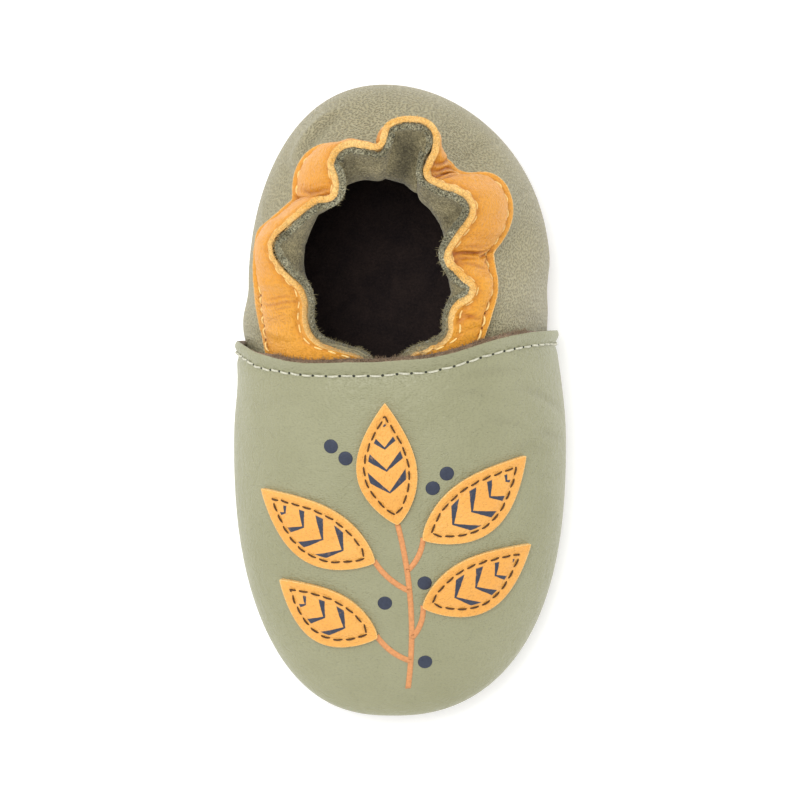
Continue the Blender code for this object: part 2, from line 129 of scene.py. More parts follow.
QUARTER_UNDER_CUFF = 1.5
WING_FRONT = 5.0
FOOT_REACH = 4.0

# Fullness of the quarter where it comes out from under the vamp: most, station and reach, and where it fades
Swell = namedtuple("Swell", "most y reach")
SWELL_INNER = Swell(2.4, 15.5, 6.5)
SWELL_OUTER = Swell(0.7, 17.0, 5.0)
SWELL_START = 4.0
SWELL_FULL = 13.0
SWELL_TOP = 0.15

# Quarter's rib, as shares from the bulge up: foot of the cuff and the neck drawn in below the rim
FOOT_SHARE = 0.55
CUFF_LAP = 0.12
RIM_END = 1.5
INSET_EASE = 1.0
MEAN_REACH = 4.0
MEAN_LEAST = 0.02
DROP_OUTER = 4.0
DROP_HEEL = 15.5
DROP_INNER = 8.0
DROP_START = 0.05
DROP_FULL = 0.33
RIB_RISE = 0.60
RIB_ARRIVE = 0.35
BAND_PULL = 0.30
BAND_LIFT = 0.5
WING_END = 0.06
WING_FADE = 0.17
NECK_X = -4.7
NECK_Y = 26.5
NECK_HALF_WIDTH = 15.8
NECK_HALF_LENGTH = 18.8
NECK_SHARE = 0.78
NECK_MOST = 9.0
NECK_EASE = 1.4
LINING_RISE = 0.1

# Where the quarter's creases show, and where its wall is smoothed beside the lip and below the cuff
CREASE_BAND = (0.06, 0.18, FOOT_SHARE, 0.8)
LIP_BAND = (-6.0, -1.0, 7.0, 14.0)
EASE_FOOT = 0.02
EASE_FULL = FOOT_SHARE - 0.14
EASE_TOP = FOOT_SHARE - 0.02
EASE_WEIGHT = 0.5

# Cuff: how far it runs under the vamp's lip, its puff, the dents of its two seams, its ripples, and the
# painted shade in its pleats and seam dents
CUFF_GAP = -0.05
CUFF_UNDER = 2.0
CUFF_SEAM = 1.7
CUFF_SWELL_START = -1.0
CUFF_SWELL = 9.0
OUTER_END = (0.0, 0.3)
INNER_END = (1.0, 0.7)
PUFF_POWER = 0.8
FOOT_DENT = 0.50
RIM_DENT = 0.30
DENT_WIDTH = 0.6
FOOT_PRESS = 0.35
CUFF_PUCKER = 0.22
CUFF_PUCKER_WIDTH = 1.3
RIPPLES = ((0.16, 6.3, 1.1), (0.12, 4.1, 2.3))
CUFF_ROUNDS = 4
PLEAT_WANDER = 0.35
PLEAT_TURNS = 9.0
PLEAT_TAPER = 0.6
PLEAT_SHADE = 0.8
DENT_SHADE = 0.5
DENT_SHADE_MOST = 0.4

# Collar in plan, from the outer end of the throat round the heel to the inner end: rim and foot of the cuff
Fold = namedtuple("Fold", "x y foot_x foot_y")
COLLAR = [
    Fold(-1.2, 4.4, 15.0, 6.0),
    Fold(2.4, 8.6, 16.4, 11.1),
    Fold(5.9, 9.7, 16.9, 12.8),
    Fold(8.9, 11.1, 17.3, 14.1),  # 3, a flank
    Fold(10.3, 13.0, 17.7, 15.2),
    Fold(10.5, 15.8, 18.1, 17.0),  # 5, a pinch
    Fold(11.4, 17.9, 18.6, 18.8),
    Fold(14.0, 19.7, 19.0, 20.6),
    Fold(15.0, 21.9, 19.2, 22.4),  # 8, a crest
    Fold(14.2, 23.8, 19.1, 24.2),
    Fold(12.0, 25.7, 18.8, 25.9),
    Fold(10.1, 28.5, 18.4, 28.1),  # 11, a pinch
    Fold(10.7, 30.2, 18.5, 29.5),
    Fold(12.7, 33.1, 20.4, 32.1),
    Fold(14.4, 35.5, 21.7, 34.8),
    Fold(15.0, 37.9, 22.2, 37.8),
    Fold(14.0, 40.4, 21.7, 40.8),
    Fold(11.6, 42.1, 20.2, 43.4),
    Fold(8.5, 43.1, 17.6, 44.9),
    Fold(5.9, 44.7, 13.5, 44.9),  # 19, a pinch
    Fold(6.5, 46.5, 11.5, 45.5),
    Fold(7.6, 49.0, 9.9, 47.1),
    Fold(7.9, 51.3, 7.5, 48.9),
    Fold(7.4, 53.5, 6.1, 51.1),
    Fold(5.5, 55.4, 4.6, 52.7),
    Fold(2.4, 56.1, 2.0, 53.4),  # 25, a crest
    Fold(-0.9, 55.7, -0.6, 53.1),
    Fold(-3.1, 54.3, -2.4, 52.1),
    Fold(-3.8, 52.3, -3.6, 50.9),
    Fold(-4.5, 50.7, -5.1, 50.1),  # 29, a pinch
    Fold(-7.3, 51.1, -8.1, 50.4),
    Fold(-9.9, 51.3, -11.1, 50.7),
    Fold(-12.4, 50.3, -14.5, 50.7),
    Fold(-13.8, 48.4, -17.2, 49.8),
    Fold(-14.3, 46.2, -19.4, 47.7),
    Fold(-13.5, 43.8, -20.7, 44.9),
    Fold(-13.3, 41.8, -21.1, 42.2),
    Fold(-14.2, 40.5, -21.2, 39.8),  # 37, a pinch
    Fold(-17.0, 40.0, -22.2, 38.8),
    Fold(-20.1, 37.7, -24.2, 37.0),
    Fold(-23.3, 34.8, -26.3, 35.2),
    Fold(-25.4, 32.6, -28.0, 33.5),
    Fold(-26.1, 30.0, -28.7, 30.3),  # 42, a crest
    Fold(-25.1, 27.0, -28.9, 27.3),
    Fold(-22.7, 24.0, -28.9, 24.4),
    Fold(-20.3, 21.7, -28.7, 21.8),
    Fold(-19.3, 19.1, -28.5, 19.2),  # 46, a pinch
    Fold(-19.3, 15.8, -28.0, 15.8),
    Fold(-18.4, 12.8, -27.6, 13.3),
    Fold(-16.0, 10.6, -27.2, 11.3),
    Fold(-11.4, 9.3, -26.8, 9.3),
    Fold(-7.5, 7.9, -26.5, 7.3),
    Fold(-4.6, 4.4, -26.5, 5.0),
]

# Soft creases, each from one place to another with a sideways bow: troughs have a depth below zero
Crease = namedtuple("Crease", "x0 y0 x1 y1 bow depth width")
CREASE_TAPER = 0.7
# Painted shade in the troughs of the creases: its share for each millimetre of depth, and the most on the
# vamp and on the quarter
CREASE_SHADE = 0.35
VAMP_SHADE_MOST = 0.5
QUARTER_SHADE_MOST = 0.4
VAMP_CREASES = [
    Crease(12.0, 4.0, 25.0, 5.6, 0.8, -0.32, 0.8),
    Crease(23.0, 2.6, 32.6, -2.6, 0.9, -0.38, 0.8),
    Crease(16.5, -4.2, 25.5, -5.8, 0.5, -0.26, 0.8),
    Crease(26.5, -6.2, 33.0, -8.2, 0.3, -0.34, 0.7),
    Crease(22.0, -9.4, 29.5, -10.5, 0.4, -0.24, 0.8),
    Crease(8.0, 0.8, 20.0, 0.2, 0.8, -0.22, 1.0),
    Crease(-30.0, -1.0, -16.0, 2.0, -0.8, -0.14, 1.2),
    Crease(-20.0, -50.0, -8.0, -57.0, -1.0, -0.08, 1.2),
]
QUARTER_CREASES = [
    Crease(-20.9, 45.0, -11.3, 57.2, 1.5, -0.75, 0.9),
    Crease(-22.0, 46.0, -12.2, 58.4, 1.5, 0.70, 0.8),
    Crease(12.6, 48.6, 20.5, 51.6, 0.6, -0.35, 0.8),
    Crease(11.0, 46.8, 17.0, 49.2, 0.5, -0.25, 0.7),
    Crease(22.5, 17.5, 29.0, 15.4, 0.4, -0.40, 1.1),
]

# Lining of the heel: ridges that stand into the mouth, and strips of painted shade where its wall lies deep
# in the lobes
LINING_RIDGES = [
    Crease(-3.4, 54.0, -4.6, 42.0, -0.5, -0.75, 0.9),
    Crease(5.4, 53.0, 4.8, 42.0, 0.5, -0.75, 0.9),
]
LINING_SHADES = [
    Crease(1.8, 56.0, 0.4, 41.0, 0.0, 1.1, 2.9),
    Crease(-14.0, 48.5, -7.5, 43.0, 0.0, 0.65, 2.0),
    Crease(9.5, 43.5, 14.5, 37.0, 0.0, 0.55, 2.0),
]

# Creases that run down the cuff from a fold: number of the fold in COLLAR, sideways step at the rim
# and at the foot in millimetres, shares of the height where they start and end, depth and width
Pleat = namedtuple("Pleat", "fold rim_step foot_step top foot depth width")
PLEATS = [
    Pleat(5, 1.4, -1.8, 0.95, 0.30, -0.55, 0.45),
    Pleat(5, -0.6, 1.2, 0.95, 0.45, -0.35, 0.40),
    Pleat(5, -2.2, -3.2, 0.80, 0.20, -0.35, 0.40),
    Pleat(11, 0.0, 2.4, 1.00, 0.20, -1.05, 0.42),
    Pleat(11, -0.8, 0.4, 1.00, 0.45, -0.60, 0.38),
    Pleat(11, -1.0, -3.0, 0.95, 0.25, -0.40, 0.45),
    Pleat(11, 1.4, 4.4, 0.85, 0.30, -0.35, 0.45),
    Pleat(11, 0.0, 0.6, 0.40, 0.00, -0.80, 0.40),
    Pleat(11, -1.4, -1.0, 0.32, 0.00, -0.50, 0.35),
    Pleat(19, 0.0, 0.0, 1.00, 0.05, -1.10, 0.50),
    Pleat(19, -1.2, -2.4, 0.95, 0.30, -0.60, 0.40),
    Pleat(19, 1.0, 2.0, 1.00, 0.10, -0.80, 0.36),
    Pleat(19, 2.0, 4.0, 1.00, 0.15, -0.70, 0.36),
    Pleat(29, 0.0, 0.0, 1.00, 0.10, -0.60, 0.50),
    Pleat(37, 0.0, 0.3, 1.00, 0.02, -1.30, 0.55),
    Pleat(37, -1.2, -2.0, 0.95, 0.30, -0.45, 0.40),
    Pleat(37, 1.3, 2.6, 0.90, 0.35, -0.35, 0.45),
    Pleat(46, 0.0, -0.8, 0.90, 0.20, -0.46, 0.34),
    Pleat(46, -1.2, -2.4, 0.85, 0.30, -0.36, 0.32),
    Pleat(46, 1.2, 1.0, 0.80, 0.45, -0.24, 0.32),
    Pleat(46, 2.6, 3.6, 0.70, 0.30, -0.16, 0.45),
]

# Stretches of the rim that show a broader or a narrower cut edge: number of the fold, change in share, reach
RIM_SWELLS = ((8, 0.55, 6.0), (3, 0.35, 5.0), (42, -0.40, 8.0), (25, -0.15, 6.0))

# Leaves of the applique, in plan: base and tip of the midrib, width across and sideways bend
LEAF_BASE_POWER = 0.85
LEAF_TIP_POWER = 0.9
LEAF_GAP = 0.15
LEAF_SEAM = 1.6
LEAF_SEAM_KEPT = 0.97
LEAF_FULL = 0.35
LEAF_FULL_START = 0.5
LEAF_FULL_END = 4.5
LEAF_DENT = 0.28
LEAF_DENT_WIDTH = 0.6
LEAF_EDGE = 0.12
LEAF_EDGE_WIDTH = 0.5
LEAF_STEPS = 160
VEIN_PITCH = 4.4
VEIN_SLANT = 0.9
Leaf = namedtuple("Leaf", "name base_x base_y tip_x tip_y width bend")
LEAVES = [
    Leaf("leaf_top", -0.5, -24.5, -3.0, -0.5, 12.0, 1.0),
    Leaf("leaf_outer_back", 4.5, -27.5, 24.5, -11.0, 11.5, -1.6),
    Leaf("leaf_inner_back", -5.0, -32.0, -27.0, -17.5, 11.5, 1.6),
    Leaf("leaf_outer_front", 4.5, -41.0, 25.5, -28.5, 11.0, -1.6),
    Leaf("leaf_inner_front", -4.5, -47.0, -23.5, -35.5, 10.5, 1.6),
]

# Printed stem and its side shoots, each a curve from one plan place to another with a bow
Shoot = namedtuple("Shoot", "name x0 y0 x1 y1 bow")
SHOOTS = [
    Shoot("stem", 1.6, -57.5, -0.5, -24.6, -1.6),
    Shoot("shoot_outer_front", 2.3, -47.5, 4.6, -41.0, -0.7),
    Shoot("shoot_inner_front", 2.1, -52.0, -4.6, -47.0, 0.7),
    Shoot("shoot_outer_back", 1.4, -34.0, 4.6, -27.5, -0.7),
    Shoot("shoot_inner_back", 1.9, -38.0, -5.1, -32.0, 0.7),
]
SHOOT_WIDTH = 1.1
INK_TOP = 0.07
INK_THICKNESS = 0.05
BERRIES = [
    (6.5, -17.5), (9.3, -14.6), (-10.8, -11.6), (-13.7, -9.2), (5.0, -52.2), (-3.0, -40.4), (4.9, -36.4),
]

# Grain of the leathers: size of the pebbles, their depth, shade of the valleys and roughness
Grain = namedtuple("Grain", "pebble depth valley roughness")
VAMP_GRAIN = Grain(0.55, 0.07, 0.05, 0.42)
HEEL_GRAIN = Grain(0.48, 0.36, 0.18, 0.46)
CUFF_GRAIN = Grain(0.6, 0.12, 0.06, 0.42)
LEAF_GRAIN = Grain(0.6, 0.08, 0.05, 0.48)
WRINKLE = 0.45
PEBBLE_FORM = (0.75, 1.2, 1.0)

# Nap of the flesh sides and the cut edges: size of its tufts, strength of its flecks and sheen
Nap = namedtuple("Nap", "size fleck sheen")
SOLE_NAP = Nap(0.5, 0.15, 0.15)
INSOLE_NAP = Nap(0.4, 0.12, 0.05)
LINING_NAP = Nap(0.55, 0.3, 0.2)
FLEECE_NAP = Nap(0.35, 0.7, 0.2)
RAW_NAP = Nap(0.45, 0.4, 0.15)
CUT_NAP = Nap(0.4, 0.2, 0.1)

# Edges of the sheets: roundness of the cut and how much it varies, and the angles that count as an edge
EDGE_ROUND = 0.35
EDGE_ROUGH = 0.06
QUARTER_SEED = 31
CUFF_SEED = 32
SHARP_ANGLE = math.radians(42)
BEVEL_ANGLE = math.radians(50)
BEVEL_SHARE = 25.0

# Stitches: share of the pitch that shows, seed of their slants, and form of each as shares of the thread
Stitch = namedtuple("Stitch", "fill seed")
VAMP_STITCH = Stitch(0.80, 11)
CUFF_STITCH = Stitch(0.74, 12)
LEAF_STITCH = Stitch(0.82, 13)
CUFF_THREAD = 0.9
LEAF_THREAD = 0.8
STITCH_DIP = -0.5
STITCH_LIFT = 0.55
STITCH_SHIFT = 0.10
STITCH_SLANT = 0.25
STITCH_THIN = 0.35
THREAD_ROUND = 2
SEAM_SHOWN = 0.5
FOOT_LIFT = 1.0
FOOT_SUNK = -0.12
RIM_LIFT = 0.5
RIM_SUNK = 0.15

# Flat round dots: radius, flatness, and mesh counts round them and over them
Dot = namedtuple("Dot", "radius flat around over")
BERRY_DOT = Dot(1.45, 0.12, 24, 10)
# Dark dots that paint the shade in the needle holes of the cuff and the vamp
CUFF_HOLE = Dot(0.24, 0.25, 8, 4)
VAMP_HOLE = Dot(0.30, 0.25, 8, 4)

# Fibres of the cut edges: number in a millimetre, share of the full length, spread and seed
Fuzz = namedtuple("Fuzz", "per_mm share spread seed")
VAMP_FUZZ = Fuzz(14, 1.0, 0.55, 21)
LINING_FUZZ = Fuzz(26, 1.0, 0.9, 22)
RIM_FUZZ = Fuzz(24, 0.55, 0.9, 23)
FOOT_FUZZ = Fuzz(5, 0.4, 0.7, 24)
FUZZ_REACH = 26.0
FIBRE = 0.09
FIBRE_RADII = (1.0, 0.8, 0.25)
FIBRE_ROOT = 0.15
FIBRE_CURL = 0.35
FIBRE_SHORTEST = 0.4
FIBRE_LONGEST = 1.3

# Stage, in metres: floor and lamp, and the light of walls and ceiling as shares of the sky's
FLOOR_HALF = 3.0
# Painted light: the floor's own glow, which lightens the shadows on it
CARD_GLOW = 0.18
LAMP_SIZE = 0.6
LAMP_PLACE = (-0.22, 0.20, 1.15)
WALL_LIGHT = 1.3
CEILING_LIGHT = 0.7
FAR_CLIP = 10.0
WHITE = (1.0, 1.0, 1.0, 1.0)

# Mesh counts of the leather sheets and of the shapes that are read from them
VAMP_GRID = (360, 96)
QUARTER_GRID = (400, 70)
CUFF_GRID = (840, 44)
LEAF_GRID = (72, 28)
SOLE_GRID = (96, 32)
SHOOT_GRID = (40, 2)
SIDE_SHARE = 0.11
LOWER_SHARE = 0.20
PATH_STEPS = 600
SPAN_STEPS = 16
EDGE_ROUNDS = 6
CUT_ROUNDS = 30
CAP_STEPS = 3
EVEN_ROUNDS = 20
MAP_ROUNDS = 200
LIP_EASE_ROUNDS = 60
STITCH_POINTS = 7

# Small steps for slopes and directions, as a length and as a share of a path, and the merge distance
SLOPE_STEP = 0.05
SHARE_STEP = 0.004
MERGE = 0.01
TINY = 1e-6


def length(name, description, millimetres):
    """A length that a user may change."""
    return bpy.props.FloatProperty(
        name=name, description=description, default=millimetres * MM, min=0.0, precision=5, unit="LENGTH"
    )


def colour(name, description, code):
    """A colour that a user may change, as an sRGB hex value."""
    return bpy.props.StringProperty(name=name, description=description, default=code, maxlen=6)


class SlipperSizes(bpy.types.PropertyGroup):
    """Sizes of the leather, its edges and its stitching."""

    leather: length("Leather", "Thickness of the upper's leather", 1.5)
    cuff_leather: length("Cuff leather", "Thickness of the cuff's leather", 1.4)
    leaf_leather: length("Leaf leather", "Thickness of the leaves' leather", 0.9)
    lip: length("Lip", "How far the vamp's back edge stands up", 0.55)
    puff: length("Cuff puff", "How far the cuff swells between its two seams", 0.9)
    vamp_pitch: length("Vamp stitch", "Distance between the stitches of the vamp", 2.9)
    cuff_pitch: length("Cuff stitch", "Distance between the stitches of the cuff", 3.0)
    leaf_pitch: length("Leaf stitch", "Distance between the stitches of the leaves", 2.5)
    thread: length("Thread", "Thickness of the sewing thread", 0.45)
    fibre: length("Fibre", "Length of the fibres along the cut edges", 0.7)


class SlipperColours(bpy.types.PropertyGroup):
    """Colours of the leathers, threads and prints."""

    sage: colour("Sage", "Light tone of the sage leather", "929174")
    sage_deep: colour("Deep sage", "Deep tone of the sage leather", "878667")
    heel: colour("Heel sage", "Light tone of the quarter's leather", "9B9476")
    heel_deep: colour("Deep heel sage", "Deep tone of the quarter's leather", "8D8669")
    # Colour of the painted shade in the creases of the sage leather
    sage_crease_shade: colour("Sage fold", "Tone in the creases of the sage leather", "5E5844")
    orange: colour("Orange", "Light tone of the cuff's leather", "D6952C")
    orange_deep: colour("Deep orange", "Deep tone of the cuff's leather", "CA851D")
    # Colour of the painted shade in the pleats and seam dents of the cuff
    orange_crease_shade: colour("Orange fold", "Tone in the folds of the cuff", "9F5C1D")
    leaf: colour("Leaf", "Light tone of the leaves' leather", "DFA554")
    leaf_deep: colour("Deep leaf", "Deep tone of the leaves' leather", "D79540")
    cut: colour("Cut edge", "Pale middle of the orange leather where it is cut", "E1BB79")
    cut_deep: colour("Deep cut edge", "Deep tone of the orange leather's cut edge", "CF994A")
    lining: colour("Lining", "Light nap of the lining", "948A68")
    lining_deep: colour("Deep lining", "Deep nap of the lining", "575039")
    fleece: colour("Lining edge", "Light tone of the lining's cut edge", "99957D")
    fleece_deep: colour("Deep lining edge", "Deep tone of the lining's cut edge", "474535")
    raw: colour("Raw edge", "Light tone of the vamp's raw edge", "8E7860")
    raw_deep: colour("Deep raw edge", "Deep tone of the vamp's raw edge", "513F2E")
    insole: colour("Insole", "Light tone of the insole", "322825")
    insole_deep: colour("Deep insole", "Deep tone of the insole", "1F191A")
    sole: colour("Outsole", "Light nap of the outsole", "8C7762")
    sole_deep: colour("Deep outsole", "Deep nap of the outsole", "6C5947")
    sage_thread: colour("Vamp thread", "Colour of the vamp's thread", "C7C5B2")
    gold_thread: colour("Cuff thread", "Colour of the cuff's thread", "F2CE85")
    brown_thread: colour("Leaf thread", "Colour of the leaves' thread", "4E3217")
    # Colours of the dark dots that paint the shade in the needle holes
    hole: colour("Needle hole", "Colour in the needle holes", "25271D")
    orange_hole: colour("Cuff needle hole", "Colour in the needle holes of the cuff", "6B3A12")
    navy: colour("Navy print", "Colour of the printed veins and berries", "2E3444")
    stem: colour("Stem print", "Colour of the printed stem", "C78754")


class SlipperStage(bpy.types.PropertyGroup):
    """Camera, light and floor."""

    field: length("Field", "Width of floor that the camera takes in", 160.0)
    distance: length("Camera distance", "Height of the camera above the floor", 3000.0)
    floor: colour("Floor", "Colour of the floor", "FCFCFC")
    sky: bpy.props.FloatProperty(
        name="Sky", description="Strength of the light from all round", default=1.12, min=0.0
    )
    key: bpy.props.FloatProperty(
        name="Key light", description="Power of the large lamp above the shoe", default=7.6, min=0.0,
        unit="POWER",
    )


def smoothstep(start, end, value):
    share = np.clip((value - start) / (end - start), 0.0, 1.0)
    return share * share * (3.0 - 2.0 * share)


def window(value, start, full, fade, end):
    """Rises from start to full, and falls again from fade to end."""
    return smoothstep(start, full, value) * smoothstep(end, fade, value)


def lerp(first, second, share):
    return first + (second - first) * share


def bell(distance, width):
    return np.exp(-((distance / width) ** 2))


def unit(vectors):
    return vectors / np.maximum(np.linalg.norm(vectors, axis=-1, keepdims=True), TINY)


def run_lengths(points):
    """Length along a line up to each of its points."""
    steps = np.linalg.norm(np.diff(points, axis=0), axis=-1)
    return np.concatenate((np.zeros((1, *steps.shape[1:])), np.cumsum(steps, axis=0)))


def rib_lengths(points):
    """Length up each rib of a grid to each of its points."""
    return np.swapaxes(run_lengths(np.swapaxes(points, 0, 1)), 0, 1)


def along_line(place, values, at):
    """Values of a line read at places along it."""
    return np.stack([np.interp(at, place, values[:, axis]) for axis in range(values.shape[1])], axis=-1)


def toe_reach(y):
    return np.clip((BALL_Y - y) / (BALL_Y - TOE_TIP), 0.0, 1.0)


def heel_reach(y):
    return np.clip((y - HEEL_Y) / (HEEL_TIP - HEEL_Y), 0.0, 1.0)


def waist(y):
    """Half of the plan width at station y, before the toe is rounded."""
    heel = (1.0 - heel_reach(y) ** HEEL_POWER) ** (1.0 / HEEL_POWER)
    return lerp(BALL_WIDTH, HEEL_WIDTH, smoothstep(BALL_Y, HEEL_Y, y)) / 2 * heel


def half_width(y):
    """Half of the upper's widest plan width at station y."""
    return waist(y) * (1.0 - toe_reach(y) ** TOE_POWER) ** (1.0 / TOE_POWER)


def centre_line(y):
    """Sideways lean of the shoe's middle at station y."""
    return TOE_LEAN * toe_reach(y) ** TOE_LEAN_POWER + HEEL_LEAN * heel_reach(y) ** HEEL_LEAN_POWER


def spring(y):
    """Lift of the sole toward the toe."""
    return TOE_SPRING * np.maximum((SPRING_START - y) / (SPRING_START - TOE_TIP), 0.0) ** 2


def vamp_edge(x):
    """Station of the vamp's back edge at the sideways place x."""
    return np.interp(x, VAMP_EDGE[:, 0], VAMP_EDGE[:, 1])


def behind_edge(points):
    """Distance of places behind the vamp's back edge, in plan."""
    return points[..., 1] - vamp_edge(points[..., 0])


def crown(x, y, inset=0.0):
    """Height of the vamp's plain outer face over a plan place, or of a face set inside it."""
    across = np.abs(x - centre_line(y)) / np.maximum(waist(y) - inset, TINY)
    along = np.maximum(BALL_Y - y, 0.0) / (BALL_Y - TOE_TIP - inset)
    radius = np.minimum((across ** TOE_POWER + along ** TOE_POWER) ** (1.0 / TOE_POWER), 1.0)
    base = BULGE_HEIGHT + spring(y)
    ridge = THROAT_HEIGHT + RIDGE_SLOPE * (y - EDGE_MID) - inset
    return base + (ridge - base) * (1.0 - radius ** ARCH_WIDTH_POWER) ** (1.0 / ARCH_HEIGHT_POWER)


def crown_normal(x, y):
    """Unit normal of the vamp's plain outer face."""
    slope_x = (crown(x + SLOPE_STEP, y) - crown(x - SLOPE_STEP, y)) / (2 * SLOPE_STEP)
    slope_y = (crown(x, y + SLOPE_STEP) - crown(x, y - SLOPE_STEP)) / (2 * SLOPE_STEP)
    return unit(np.stack((-slope_x, -slope_y, np.ones_like(slope_x)), axis=-1))


def crease_relief(x, y, creases):
    """Rise and fall of soft creases, tapered toward their ends."""
    relief = np.zeros_like(x)
    for crease in creases:
        reach = np.array((crease.x1 - crease.x0, crease.y1 - crease.y0))
        size = np.linalg.norm(reach)
        reach = reach / size
        share = ((x - crease.x0) * reach[0] + (y - crease.y0) * reach[1]) / size
        aside = (x - crease.x0) * -reach[1] + (y - crease.y0) * reach[0]
        share = np.clip(share, 0.0, 1.0)
        off = aside - crease.bow * 4.0 * share * (1.0 - share)
        relief += crease.depth * bell(off, crease.width) * np.sin(np.pi * share) ** CREASE_TAPER
    return relief


def edge_rise(back, width):
    """Rise toward an edge, from none at the given width in front of it to one at the edge."""
    return np.maximum(1.0 - np.maximum(back, 0.0) / width, 0.0) ** 2


def seam_inset(x):
    """Distance of the vamp's seam from its back edge: less beside the throat, more at the inner side."""
    narrower = SEAM_NARROWER * bell(x - SEAM_NARROW_X, SEAM_NARROW_WIDTH)
    return SEAM_INSET - narrower + SEAM_WIDER * smoothstep(SEAM_WIDER_START, SEAM_WIDER_FULL, x)


def vamp_relief(x, y, lip):
    """Lip, seam and creases of the vamp, over its plain face."""
    back = vamp_edge(x) - y
    side = smoothstep(LIP_SIDE, 1.0, np.abs(x) / half_width(y))
    flare = np.where(x < 0.0, FLARE_INNER * edge_rise(back, FLARE_INNER_WIDTH),
                     FLARE_OUTER * edge_rise(back, FLARE_OUTER_WIDTH))
    relief = lerp(lip * edge_rise(back, LIP_WIDTH), flare, side)
    relief -= LIP_CORNER * side * edge_rise(back, CORNER_WIDTH)
    relief -= SEAM_DENT * bell(back - seam_inset(x), SEAM_DENT_WIDTH)
    relief -= SEAM_HOLLOW * (1.0 - side) * bell(back - seam_inset(x), SEAM_HOLLOW_WIDTH)
    return relief + crease_relief(x, y, VAMP_CREASES)


def vamp_top(x, y, lip):
    """Points on the vamp's outer face over plan places, and their normals."""
    normal = crown_normal(x, y)
    plain = np.stack((x, y, crown(x, y)), axis=-1)
    return plain + normal * vamp_relief(x, y, lip)[..., None], normal


def tuck(points, depth):
    """Points in front of the vamp's back edge pressed to sit the given depth under its face."""
    x, y = points[..., 0], points[..., 1]
    normal = crown_normal(x, y)
    height = (points[..., 2] - crown(x, y)) * normal[..., 2]
    hidden = 1.0 - smoothstep(0.0, TUCK_FADE, behind_edge(points))
    press = np.maximum(height + depth, 0.0) * hidden
    return points - normal * press[..., None]


def grid_normals(points):
    """Unit normals of a grid of points; where a pole leaves none, the next row's are taken."""
    normal = np.cross(np.gradient(points, axis=0), np.gradient(points, axis=1))
    size = np.linalg.norm(normal, axis=-1)
    normal = unit(normal)
    for row in range(1, points.shape[1]):
        bare = size[:, row] < TINY
        normal[bare, row] = normal[bare, row - 1]
    return normal


def shares(counts):
    """Two grids of shares from 0 to 1."""
    return np.meshgrid(*(np.linspace(0.0, 1.0, count + 1) for count in counts), indexing="ij")


class PlanPath:
    """A plan curve through dense points, read by its share of length."""

    def __init__(self, points):
        self.points = points
        place = run_lengths(points)
        self.share = place / place[-1]

    def at(self, share):
        return along_line(self.share, self.points, share)

    def left_normal(self, share):
        before = self.at(np.maximum(share - SHARE_STEP, 0.0))
        ahead = unit(self.at(np.minimum(share + SHARE_STEP, 1.0)) - before)
        return np.stack((-ahead[..., 1], ahead[..., 0]), axis=-1)


def heel_path():
    """Outline of the quarter, from the outer wing round the heel to the inner wing."""
    y = np.linspace(WING_FRONT, HEEL_Y, PATH_STEPS)
    side = np.stack((half_width(y), y), axis=-1)
    turn = np.linspace(0.0, math.pi, 2 * PATH_STEPS)[1:-1]
    y = HEEL_Y + (HEEL_TIP - HEEL_Y) * np.sin(turn) ** (2.0 / HEEL_POWER)
    heel = np.stack((np.copysign(half_width(y), np.cos(turn)) + centre_line(y), y), axis=-1)
    return PlanPath(np.concatenate((side, heel, (side * (-1.0, 1.0))[::-1])))


def toe_fan(share):
    """Outline of the vamp in front of the ball, from the inner side round the toe to the outer."""
    turn = share * math.pi
    across = np.abs(np.cos(turn)) ** (2.0 / TOE_POWER)
    along = np.maximum(np.sin(turn), 0.0) ** (2.0 / TOE_POWER)
    y = BALL_Y - (BALL_Y - TOE_TIP) * along
    return np.stack((-np.copysign(BALL_WIDTH / 2 * across, np.cos(turn)) + centre_line(y), y), axis=-1)


def catmull_rom(knots):
    """Dense smooth curve through the knots."""
    ends = np.vstack((2 * knots[0] - knots[1], knots, 2 * knots[-1] - knots[-2]))
    t = (np.arange(SPAN_STEPS) / SPAN_STEPS)[:, None]
    dense = []
    for before, start, end, after in zip(ends, ends[1:], ends[2:], ends[3:]):
        bend = (2 * before - 5 * start + 4 * end - after) * t ** 2
        twist = (3 * start - before - 3 * end + after) * t ** 3
        dense.append((2 * start + (end - before) * t + bend + twist) / 2)
    return np.concatenate((*dense, knots[-1:]))


VAMP_EDGE = catmull_rom(np.stack((EDGE_X, EDGE_Y), axis=1))


def even_out(values, place, reach):
    """Values along a line averaged over a bell of the given reach."""
    weight = np.exp(-0.5 * ((place[:, None] - place[None, :]) / reach) ** 2)
    return weight @ values / weight.sum(axis=1)[:, None]


def mean_line(points, reach):
    """The points averaged along the curve over a bell of the given reach, with their ends kept."""
    place = run_lengths(points)
    room = np.minimum(reach, np.minimum(place, place[-1] - place) / 2 + MEAN_LEAST)
    weight = np.exp(-0.5 * ((place[None, :] - place[:, None]) / room[:, None]) ** 2)
    return weight @ points / weight.sum(axis=1)[:, None]


def seam_wall(place, outward, turn, inset):
    """Wall between the bulge, turn 0, and the sole seam, turn 1, set inside by the inset."""
    angle = SEAM_ANGLE * turn
    height = BULGE_HEIGHT - SEAM_HEIGHT
    normal = unit(np.stack((height * np.cos(angle), -SEAM_TURN * np.sin(angle)), axis=-1))
    inward = SEAM_TURN * (1.0 - np.cos(angle)) + inset * normal[..., 0]
    z = BULGE_HEIGHT - height * np.sin(angle) - inset * normal[..., 1] + spring(place[..., 1])
    return np.concatenate((place - outward * inward[..., None], z[..., None]), axis=-1)


def bezier(start, leave, arrive, end, share):
    rest = 1.0 - share
    first = rest ** 3 * start + 3 * rest * rest * share * leave
    return first + 3 * rest * share * share * arrive + share ** 3 * end


def under_cuff(v):
    """One where the quarter lies under the cuff, and none below it."""
    return smoothstep(FOOT_SHARE - CUFF_LAP, FOOT_SHARE, v)


